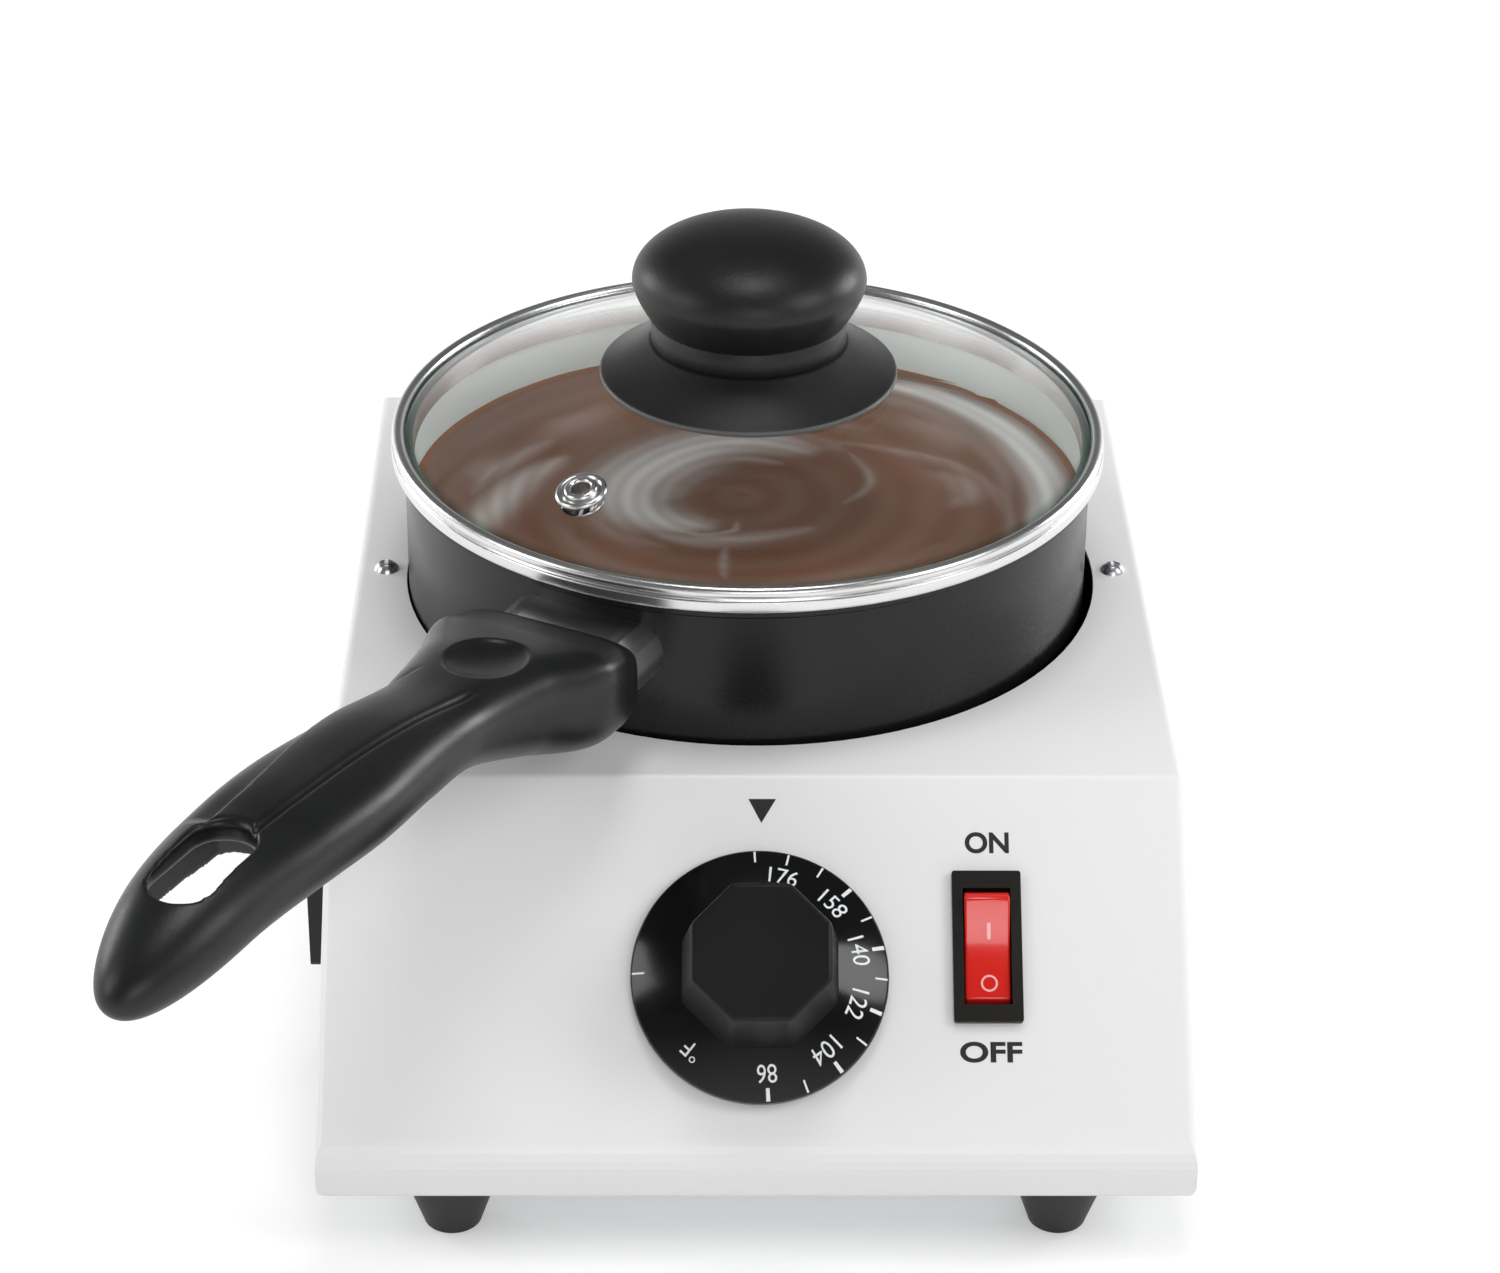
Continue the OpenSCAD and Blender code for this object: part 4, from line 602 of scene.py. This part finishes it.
def chocolate_mesh(rings=150, steps=288):
    """The chocolate's points and faces, and the strength of the painted reflection at each point."""
    level = FILL_Z - CHOC_SINK
    turn = np.linspace(0, 2 * math.pi, steps, endpoint=False)
    r, a = np.meshgrid(CHOC_R * np.arange(1, rings + 1) / rings, turn, indexing="ij")
    x, y = (r * np.cos(a)).ravel(), (r * np.sin(a)).ravel()
    high, pale = swirl_fields(x, y)
    points = [on_axis(*p) for p in zip(x, y, level + high)]
    for radius, z in CHOC_SIDE:
        points += [on_axis(radius * math.cos(k), radius * math.sin(k), z) for k in turn]
    total = rings + len(CHOC_SIDE)
    faces = []
    for i in range(total - 1):
        for k in range(steps):
            j = (k + 1) % steps
            faces.append((i * steps + k, i * steps + j, (i + 1) * steps + j, (i + 1) * steps + k))
    top, bottom = len(points), len(points) + 1
    mid_high, mid_painted_reflection = swirl_fields(np.zeros(1), np.zeros(1))
    points += [on_axis(0, 0, level + mid_high[0]), on_axis(0, 0, CHOC_SIDE[-1][1])]
    last = (total - 1) * steps
    for k in range(steps):
        j = (k + 1) % steps
        faces.append((top, j, k))
        faces.append((bottom, last + k, last + j))
    return points, faces, list(pale) + [0.0] * (steps * len(CHOC_SIDE)) + [mid_painted_reflection[0], 0.0]


choc_points, choc_faces, choc_painted_reflection = chocolate_mesh()
chocolate = piece("chocolate_swirled", choc_points, choc_faces, "melted_chocolate", "pan", ["chocolate"], 60)
# The "pale" attribute carries the painted reflection on the chocolate's top
chocolate.data.attributes.new("pale", "FLOAT", "POINT").data.foreach_set("value", choc_painted_reflection)


# Handle: rounded squares along a rising line, drawn in to a round tip, with a thumb dimple, a raised rib and a slot

HANDLE_TURN = math.radians(27.5)
FERRULE_END = 86.4665
HANDLE_LEN = 164.0
GRIP_W = 32.0
HEAD_T = 23.0
RISE = 18.5
HEAD_MID = 98.3
STATIONS = (0, 0.0275, 0.064, 0.119, 0.205, 0.327, 0.449, 0.571, 0.693, 0.828, 1)
WIDTHS = (0.575, 0.612, 0.67, 0.675, 0.519, 0.414, 0.456, 0.5, 0.478, 0.416, 0.306)
HEIGHTS = (0.382, 0.457, 0.465, 0.504, 0.474, 0.383, 0.404, 0.404, 0.396, 0.394, 0.35)
RISES = (0, 0.054, 0.151, 0.249, 0.454, 0.681, 0.843, 0.93, 1, 0.989, 0.64)
ROUNDS = (0.36, 0.36, 0.38, 0.44, 0.6, 0.78, 0.8, 0.8, 0.82, 0.9, 1)
TIP = 0.169
TIP_POWER = 2.3
ROUNDER_BELOW = 0.16
SLOT_FROM = 0.735
SLOT_TO = 0.887
SLOT_W = 13.0
LIP = 1.3
POCKET_ROOF = 4.5
POCKET_SIDE = 4.3
POCKET_END = 13.0
HANDLE_SIDES = 96


def smooth_at(values, x):
    i = max(0, min(len(STATIONS) - 2, int(np.searchsorted(STATIONS, x, "right")) - 1))

    def slope(k):
        a, b = max(k - 1, 0), min(k + 1, len(STATIONS) - 1)
        return (values[b] - values[a]) / (STATIONS[b] - STATIONS[a])

    w = STATIONS[i + 1] - STATIONS[i]
    t = (x - STATIONS[i]) / w
    return (
        (2 * t**3 - 3 * t * t + 1) * values[i] + (t**3 - 2 * t * t + t) * slope(i) * w
        + (3 * t * t - 2 * t**3) * values[i + 1] + (t**3 - t * t) * slope(i + 1) * w
    )


def handle_z(t):
    return HEAD_MID + RISE * smooth_at(RISES, t)


def handle_point(s, y, z):
    """Row-frame millimetres of a point s out from the pan's axis along the handle, y across it and z up."""
    return (
        PAN_X - s * math.sin(HANDLE_TURN) + y * math.cos(HANDLE_TURN),
        PAN_Y - s * math.cos(HANDLE_TURN) - y * math.sin(HANDLE_TURN),
        z,
    )


def handle_ring(t):
    q = max(0.0, (t - 1 + TIP) / TIP)
    drawn = (1 - q**TIP_POWER) ** (1 / TIP_POWER) if q < 1 else 0.0
    a = GRIP_W * smooth_at(WIDTHS, t) * drawn
    b = HEAD_T * smooth_at(HEIGHTS, t) * drawn
    power = smooth_at(ROUNDS, t)
    low, high = max(t - 0.01, 0), min(t + 0.01, 1)
    lean = math.atan2(handle_z(high) - handle_z(low), HANDLE_LEN * (high - low)) * min(1, t / STATIONS[3])
    ring = []
    for k in range(HANDLE_SIDES):
        turn = 2 * math.pi * k / HANDLE_SIDES
        c, n = math.cos(turn), math.sin(turn)
        squareness = power if n > 0 else min(1, power + ROUNDER_BELOW)
        y = a * math.copysign(abs(c) ** squareness, c)
        z = b * math.copysign(abs(n) ** squareness, n)
        out = FERRULE_END + HANDLE_LEN * t - z * math.sin(lean)
        ring.append(handle_point(out, y, handle_z(t) + z * math.cos(lean)))
    return ring


def skin_of(rings):
    n = len(rings[0])
    points = [p for ring in rings for p in ring]
    faces = [
        (k * n + i, k * n + (i + 1) % n, (k + 1) * n + (i + 1) % n, (k + 1) * n + i)
        for k in range(len(rings) - 1) for i in range(n)
    ]
    faces.append(tuple(range(n - 1, -1, -1)))
    faces.append(tuple((len(rings) - 1) * n + i for i in range(n)))
    return points, faces


def solid(name, points, faces):
    mesh = bpy.data.meshes.new(name)
    mesh.from_pydata([tuple(c * MM for c in p) for p in points], [], faces)
    tool = bmesh.new()
    tool.from_mesh(mesh)
    bmesh.ops.recalc_face_normals(tool, faces=tool.faces)
    tool.to_mesh(mesh)
    tool.free()
    thing = bpy.data.objects.new(name, mesh)
    bpy.context.scene.collection.objects.link(thing)
    return thing


def applied(thing):
    """The object with its modifiers made real."""
    graph = bpy.context.evaluated_depsgraph_get()
    mesh = bpy.data.meshes.new_from_object(thing.evaluated_get(graph))
    thing.modifiers.clear()
    thing.data = mesh
    return thing


RINGS = 150
TIP_RINGS = 30
tip_shares = [math.sin(math.pi / 2 * i / (TIP_RINGS + 0.2)) for i in range(1, TIP_RINGS + 1)]
along = list(np.linspace(0, 1 - TIP, RINGS)) + [1 - TIP + TIP * share for share in tip_shares]
handle = solid("handle_moulded", *skin_of([handle_ring(t) for t in along]))

slot_a = FERRULE_END + HANDLE_LEN * SLOT_FROM + SLOT_W / 2
slot_b = FERRULE_END + HANDLE_LEN * SLOT_TO - SLOT_W / 2
slot_mid = (SLOT_FROM + SLOT_TO) / 2
slot_z = handle_z(slot_mid)
slot_half = HEAD_T * smooth_at(HEIGHTS, slot_mid) - 0.3


def slot_ring(z, wider, longer=0.0, left=0.0):
    """The slot's outline at a height from the handle's middle line, in millimetres."""
    r = SLOT_W / 2 + wider
    outline = arc(slot_a - longer, 0, r, 90, 270, 24) + arc(slot_b, 0, r, -90, 90, 24)
    return [handle_point(s, y - (left if y < 0 else 0), slot_z + z) for s, y in outline]


FINE_VOXEL = 0.45

# A straight mouth with a small rounded lip, over a pocket that opens the handle's underside
roof = slot_half - POCKET_ROOF
CUTTER_PAST = 8.0
lips = [
    (slot_half - LIP + LIP * math.sin(a), LIP * (1 - math.cos(a)))
    for a in np.radians((0, 18, 36, 54, 72, 88))
]
rings = [slot_ring(-slot_half - CUTTER_PAST, 0.4, POCKET_END + 3, POCKET_SIDE)]
rings += [slot_ring(roof - 3, 0, POCKET_END, POCKET_SIDE), slot_ring(roof, 0)]
rings += [slot_ring(z, w) for z, w in lips] + [slot_ring(slot_half + CUTTER_PAST, LIP)]
cutter = solid("slot_cutter", *skin_of(rings))
cut = handle.modifiers.new("slot", "BOOLEAN")
cut.object = cutter
cut.operation = "DIFFERENCE"
cut.solver = "EXACT"
applied(handle)
bpy.data.objects.remove(cutter)
remesh = handle.modifiers.new("remesh", "REMESH")
remesh.mode = "VOXEL"
remesh.voxel_size = FINE_VOXEL * MM
soften = handle.modifiers.new("soften", "SMOOTH")
soften.factor = 0.5
soften.iterations = 9
applied(handle)

# The rib's two edges, as (distance from the handle's start, distance across), and the dimple
RIB_NEAR = (
    (38, 9.0), (46, 7.6), (59, 6.2), (73, 5.6), (84, 4.9), (94, 4.4), (105, 4.2), (113, 3.9), (126, 3.6),
)
RIB_FAR = (
    (38, -4.5), (46, -7.2), (55, -9.4), (65, -10.4), (77, -10.2), (89, -8.9), (100, -7.3), (110, -6.2),
    (126, -5.4),
)
DIMPLE_S = 33.5
DIMPLE_Y = 1.6
DIMPLE_LONG = 11.0
DIMPLE_WIDE = 8.6
DIMPLE_DEEP = 2.4
RIB_DEEP = 1.0
GROOVE_DEEP = 0.8
GROOVE_HALF = 0.75
RIB_FROM = 43.0
RIB_TO = 124.0
RIB_WALL = 0.7
RIB_FADE = 7.5


def eased(x):
    x = max(0.0, min(1.0, x))
    return x * x * (3 - 2 * x)


near_line = drawn_through(RIB_NEAR)
far_line = drawn_through(RIB_FAR)


def handle_sink(s, y):
    """How far the handle's top sinks at a place, in millimetres."""
    sink = 0.0
    span = eased((s - RIB_FROM) / 10) * eased((RIB_TO - s) / 4)
    if span > 0:
        past = y - np.interp(s, near_line[:, 0], near_line[:, 1])
        sink += span * GROOVE_DEEP * math.exp(-((past / GROOVE_HALF) ** 2))
        past = np.interp(s, far_line[:, 0], far_line[:, 1]) - y
        if past > 0:
            sink += span * RIB_DEEP * eased(past / RIB_WALL) * (1 - eased((past - RIB_WALL) / RIB_FADE))
    reach = math.hypot((s - DIMPLE_S) / DIMPLE_LONG, (y - DIMPLE_Y) / DIMPLE_WIDE)
    if reach < 1:
        sink += DIMPLE_DEEP * (1 - reach**2.4) * eased((1 - reach) / 0.12)
    return sink


# Remeshing swells the form a little: it is drawn in by this much, in millimetres
SHRINK = 0.08
TOPWARD = 0.1
RELIEF_FROM = 20.0
tool = bmesh.new()
tool.from_mesh(handle.data)
tool.normal_update()
for vert in tool.verts:
    p = vert.co / MM
    dx, dy = p.x - PAN_X, p.y - PAN_Y
    s = -dx * math.sin(HANDLE_TURN) - dy * math.cos(HANDLE_TURN) - FERRULE_END
    y = dx * math.cos(HANDLE_TURN) - dy * math.sin(HANDLE_TURN)
    vert.co -= vert.normal * SHRINK * MM
    if vert.normal.z > TOPWARD and RELIEF_FROM < s < RIB_TO:
        vert.co.z -= handle_sink(s, y) * MM * eased((vert.normal.z - TOPWARD) / 0.3)
tool.to_mesh(handle.data)
tool.free()
dress(handle, "handle_black", "pan", ["pan_handle"], 70)


# Dial: glossy skirt and octagonal grip

DIAL_R = 26.6
GRIP_W_TOP = 28.0
GRIP_BASE = 6.6
DIAL_H = 24.8
DIAL_DRAFT = 0.105
DIAL_LIFT = 1.2
RIM_H = 1.6
FACE_IN_R = 16.0
FACE_OUT_R = DIAL_R - 0.42
DIAL_STEPS = 200


def dial_at(x, y, z):
    return tuple((on_panel(DIAL_X, DIAL_DOWN) / MM) + SIDEWAYS * x + UP_SLOPE * y + OUT * z)


skirt_profile = (
    [(5, GRIP_BASE - 2), (14, GRIP_BASE - 2), (DIAL_R - 2, DIAL_LIFT), (DIAL_R - 0.15, DIAL_LIFT)]
    + [(DIAL_R, DIAL_LIFT + 0.15), (DIAL_R, DIAL_LIFT + RIM_H)]
    + arc(DIAL_R - 0.8, DIAL_LIFT + RIM_H - 0.16, 0.8, 12, 62, 6)
    + [(FACE_IN_R, GRIP_BASE + 1), (14.5, GRIP_BASE + 1.6), (5, GRIP_BASE + 1.6)]
)
piece("dial_skirt", *turned(skirt_profile, DIAL_STEPS, dial_at), "dial_black", "dial", ["dial_knob"], 30)


def skirt_z(r):
    """Height of the skirt's face above the panel at a radius, in millimetres."""
    inner, outer = (FACE_IN_R, GRIP_BASE + 1), (FACE_OUT_R, DIAL_LIFT + RIM_H + 0.55)
    share = (r - inner[0]) / (outer[0] - inner[0])
    return inner[1] + (outer[1] - inner[1]) * share


def octagon(half, z):
    r = half / math.cos(math.pi / 8)
    turns = [math.pi / 8 + k * math.pi / 4 for k in range(8)]
    return [dial_at(r * math.cos(turn), r * math.sin(turn), z) for turn in turns]


grip_top = GRIP_W_TOP / 2
grip_foot = grip_top + (DIAL_H - GRIP_BASE + 2) * DIAL_DRAFT
grip_points, grip_faces = skin_of([octagon(grip_foot, GRIP_BASE), octagon(grip_top + 0.2, DIAL_H)])
grip = piece("dial_grip_octagon", grip_points, grip_faces, "dial_grip", "dial", (), 30, slot="dial_black")
rounded(grip, 0.8, 30)


# Marks


def lettering(text, width, height, bold=0.0):
    """The outline of a text as flat points and faces, fitted to a box round the origin, in millimetres."""
    curve = bpy.data.curves.new(text, "FONT")
    curve.body = text
    curve.resolution_u = 6
    curve.offset = bold
    thing = bpy.data.objects.new(text, curve)
    bpy.context.scene.collection.objects.link(thing)
    bpy.context.view_layer.update()
    graph = bpy.context.evaluated_depsgraph_get()
    mesh = bpy.data.meshes.new_from_object(thing.evaluated_get(graph))
    bpy.data.objects.remove(thing)
    flat = np.array([v.co[:2] for v in mesh.vertices])
    low, high = flat.min(0), flat.max(0)
    flat = (flat - (low + high) / 2) / (high - low) * (width, height)
    return [tuple(p) for p in flat], [tuple(f.vertices) for f in mesh.polygons]


def strip(width, length, steps=8):
    """A flat strip round the origin, cut along its length."""
    points = [(x, -length / 2 + length * i / steps) for i in range(steps + 1) for x in (-width / 2, width / 2)]
    faces = [(2 * i, 2 * i + 1, 2 * i + 3, 2 * i + 2) for i in range(steps)]
    return points, faces


def joined(parts):
    points, faces = [], []
    for more_points, more_faces in parts:
        base = len(points)
        points += more_points
        faces += [tuple(i + base for i in f) for f in more_faces]
    return points, faces


# How far marks stand off the surface below them, in millimetres
LIFT = 0.06
PANEL_LIFT = 0.03
ROCKER_LIFT = 0.05
MARK_SHORTER = 0.92
EDGE_SLOPE = 1.2


def on_skirt(flat, angle, radius):
    """Flat marks laid on the dial's skirt, their tops towards the rim, at an angle clockwise from the top."""
    points = []
    for u, v in flat[0]:
        r = radius + v * MARK_SHORTER
        turn = math.radians(angle) + u / radius
        z = skirt_z(min(r, FACE_OUT_R)) + LIFT
        if r > FACE_OUT_R:
            z -= (r - FACE_OUT_R) * EDGE_SLOPE
        points.append(dial_at(r * math.sin(turn), r * math.cos(turn), z))
    return points, flat[1]


THIN_TICKS = (-2.2, 13.5, 30.1, 61.9, 92, 123.8, 158.1, 270.6)
THICK_TICKS = (46.1, 77.2, 108, 140.3, 176.4)
TICK_LEN = 3.0
TICK_R = DIAL_R - 1.5
NUMBERS = ((176.4, "86"), (140.3, "104"), (108, "122"), (77.2, "140"), (46.1, "158"), (13.5, "176"))
dial_marks = [on_skirt(strip(0.42, TICK_LEN), a, TICK_R) for a in THIN_TICKS]
dial_marks += [on_skirt(strip(0.8, TICK_LEN), a, TICK_R) for a in THICK_TICKS]
for angle, number in NUMBERS:
    dial_marks.append(on_skirt(lettering(number, 1.95 * len(number) + 0.2, 3.9), angle, 21.0))
dial_marks.append(on_skirt(lettering("°F", 3.6, 3.7), 221, 21.6))
piece("dial_marks", *joined(dial_marks), "mark_white", "dial", (), 30, slot="dial_black")


def flat_on_panel(flat, x, down):
    return [tuple(on_panel(x + u, down - v, PANEL_LIFT) / MM) for u, v in flat[0]], flat[1]


BOLD = 0.03
LABEL_X = 48.1
pointer = [(-2.9, 2.6), (2.9, 2.6), (-0.2, -2.6)], [(0, 1, 2)]
panel_marks = [
    flat_on_panel(pointer, 1.3, 7.7),
    flat_on_panel(lettering("ON", 9.2, 4.6, BOLD), LABEL_X, 14.5),
    flat_on_panel(lettering("OFF", 12.8, 4.4, BOLD), LABEL_X, 58.9),
]
piece("panel_marks", *joined(panel_marks), "mark_black", "case", (), 30, slot="case_white")


# Rocker: clear red, rounded at its ends and dished between them

ROCKER_TIP = math.radians(9)
ROCKER_GAP = 0.25
ROCKER_R = 24.6 / 2 - ROCKER_GAP
ROCKER_HALF_W = 9.9 / 2 - ROCKER_GAP
ROCKER_TOP = 4.6
ROCKER_DISH = 1.1
PIVOT_DROP = 2.4
face_lean = math.asin(ROCKER_TOP / ROCKER_R)
face_half = ROCKER_R * math.cos(face_lean) * 0.93


def rocker_face(x):
    return ROCKER_TOP - ROCKER_DISH * (1 - min(1, abs(x) / face_half) ** 2)


def rocker_at(x, y, z):
    """x up the rocker, y out of its face and z sideways, in millimetres."""
    up = x * math.cos(ROCKER_TIP) - y * math.sin(ROCKER_TIP)
    out = x * math.sin(ROCKER_TIP) + y * math.cos(ROCKER_TIP)
    return tuple(on_panel(SWITCH_X + z, SWITCH_DOWN - up, out - PIVOT_DROP) / MM)


end_turn = math.degrees(face_lean) - 6
rocker_outline = (
    arc(0, 0, ROCKER_R, -20, end_turn, 10)
    + [(x, rocker_face(x)) for x in np.linspace(face_half, -face_half, 21)]
    + arc(0, 0, ROCKER_R, 180 - end_turn, 200, 10)
)
rocker_sides = [[rocker_at(x, y, z) for x, y in rocker_outline] for z in (-ROCKER_HALF_W, ROCKER_HALF_W)]
rocker_points, rocker_faces = skin_of(rocker_sides)
rocker = piece("rocker_clear_red", rocker_points, rocker_faces, "rocker_red", "rocker", ["rocker"], 45)
rounded(rocker, 0.45, 50)


def ring_flat(r, width, steps=40):
    turns = np.linspace(0, 2 * math.pi, steps, endpoint=False)
    points = [(q * math.cos(a), q * math.sin(a)) for a in turns for q in (r - width, r)]
    faces = [(2 * i, 2 * i + 1, (2 * i + 3) % (2 * steps), (2 * i + 2) % (2 * steps)) for i in range(steps)]
    return points, faces


def on_rocker(flat, up):
    return [rocker_at(up + v, rocker_face(up + v) + ROCKER_LIFT, u + 0.3) for u, v in flat[0]], flat[1]


rocker_marks = [on_rocker(strip(0.72, 3.4, 10), 3.7), on_rocker(ring_flat(1.75, 0.42), -7.1)]
piece("rocker_marks", *joined(rocker_marks), "mark_pink", "rocker", (), 30, slot="rocker_red")


# Floor, lamps, world and camera

FLOOR_HALF = 8.0
# The floor's own glow to the eye, near the object and far from it, and the distances in metres it changes between
GLOW_NEAR = 0.3
GLOW_FAR = 0.7
GLOW_FROM = 0.9
GLOW_TO = 3.0


def floor_plane():
    mesh = bpy.data.meshes.new("floor")
    corners = [(x * FLOOR_HALF, y * FLOOR_HALF, 0) for x, y in ((-1, -1), (1, -1), (1, 1), (-1, 1))]
    mesh.from_pydata(corners, [], [(0, 1, 2, 3)])
    thing = bpy.data.objects.new("floor", mesh)
    bpy.context.scene.collection.objects.link(thing)
    material = bpy.data.materials.new("floor_pale")
    material.use_nodes = True
    tree = Nodes(material.node_tree)
    material.node_tree.nodes.remove(material.node_tree.nodes["Principled BSDF"])
    diffuse = tree.add("BsdfDiffuse")
    diffuse.inputs["Color"].default_value = (0.8, 0.8, 0.8, 1)
    glow = tree.add("Emission")
    glow.inputs["Color"].default_value = (1, 1, 1, 1)
    path = tree.add("LightPath")
    indirect = tree.math("MAXIMUM", path.outputs["Is Glossy Ray"], path.outputs["Is Transmission Ray"])
    seen = tree.math("MAXIMUM", path.outputs["Is Camera Ray"], indirect)
    where = tree.add("VectorMath", operation="LENGTH")
    tree.link(tree.add("TexCoord").outputs["Object"], where.inputs[0])
    fade = tree.spread(where.outputs["Value"], GLOW_NEAR, GLOW_FAR, GLOW_FROM, GLOW_TO)
    tree.link(tree.math("MULTIPLY", seen, fade), glow.inputs["Strength"])
    both = tree.add("AddShader")
    tree.link(diffuse.outputs[0], both.inputs[0])
    tree.link(glow.outputs[0], both.inputs[1])
    tree.link(both.outputs[0], material.node_tree.nodes["Material Output"].inputs["Surface"])
    mesh.materials.append(material)


floor_plane()

AMBIENT = 0.46
OVERHEAD = 0.12
# Heights of a direction, as shares of its length, that the dimming starts and ends at
DIM_FROM = 0.02
DIM_TO = 0.36

world = bpy.data.worlds.new("studio")
bpy.context.scene.world = world
world.use_nodes = True
tree = Nodes(world.node_tree)
background = world.node_tree.nodes["Background"]
ray = tree.add("TexCoord").outputs["Generated"]
parts = tree.add("SeparateXYZ")
tree.link(ray, parts.inputs[0])
# Reflections see white round the horizon, dimmer overhead. As a light the world is even. The camera sees white, also
# straight through the glass.
seen_level = tree.spread(parts.outputs[2], 1.0, OVERHEAD, DIM_FROM, DIM_TO)
path = tree.add("LightPath")
mix = tree.add("Mix", data_type="FLOAT")
tree.link(path.outputs["Is Diffuse Ray"], mix.inputs["Factor"])
tree.link(seen_level, mix.inputs[2])
mix.inputs[3].default_value = AMBIENT
bounces = tree.math("ADD", path.outputs["Diffuse Depth"], path.outputs["Glossy Depth"])
straight = tree.math("MULTIPLY", path.outputs["Is Transmission Ray"], tree.math("LESS_THAN", bounces, 0.5))
seen_plainly = tree.math("MAXIMUM", path.outputs["Is Camera Ray"], straight)
white = tree.math("MAXIMUM", seen_plainly, mix.outputs[0])
background.inputs["Color"].default_value = (1, 1, 1, 1)
tree.link(white, background.inputs["Strength"])


MIDDLE = Vector((0.0, 0.0, 0.08))
# Each lamp: its name, its place, width and height in metres, and its power in watts
LAMPS = (
    ("key_right", (1.15, -0.45, 1.05), 0.6, 0.8, 5.8),
    ("fill_left", (-1.3, -0.3, 0.85), 0.6, 0.8, 4.3),
    ("top", (0.05, 0.1, 1.7), 0.6, 0.6, 5.2),
    ("front", (0.25, -1.75, 1.05), 1.1, 0.7, 5.8),
    ("back_left", (-1.25, 0.75, 0.5), 0.5, 0.5, 5.0),
    ("back_right", (1.25, 0.7, 0.5), 0.5, 0.5, 6.0),
)
for name, place, width, height, power in LAMPS:
    data = bpy.data.lights.new(name, "AREA")
    data.shape = "ELLIPSE"
    data.size = width
    data.size_y = height
    data.energy = power
    thing = bpy.data.objects.new(name, data)
    bpy.context.scene.collection.objects.link(thing)
    thing.location = place
    thing.rotation_mode = "QUATERNION"
    thing.rotation_quaternion = (MIDDLE - Vector(place)).to_track_quat("-Z", "Y")

CAMERA_PLACE = Vector((-0.015, -743.802, 518.73)) * MM
PITCH = math.radians(29.469)
YAW = math.radians(1.081)
ROLL = math.radians(0.659)
SENSOR_W = 36.0
LENS = 96.45
ahead = Vector((math.sin(YAW) * math.cos(PITCH), math.cos(YAW) * math.cos(PITCH), -math.sin(PITCH)))
level_right = Vector((math.cos(YAW), -math.sin(YAW), 0))
level_up = level_right.cross(ahead)
right = level_right * math.cos(ROLL) + level_up * math.sin(ROLL)
up = right.cross(ahead)
camera = bpy.data.objects.new("camera", bpy.data.cameras.new("camera"))
bpy.context.scene.collection.objects.link(camera)
camera.data.sensor_fit = "HORIZONTAL"
camera.data.sensor_width = SENSOR_W
camera.data.lens = LENS
camera.data.clip_start = 0.01
camera.data.clip_end = 50.0
camera.matrix_world = Matrix.Translation(CAMERA_PLACE) @ Matrix((right, up, -ahead)).transposed().to_4x4()
bpy.context.scene.camera = camera
bpy.context.scene.view_settings.view_transform = "Standard"
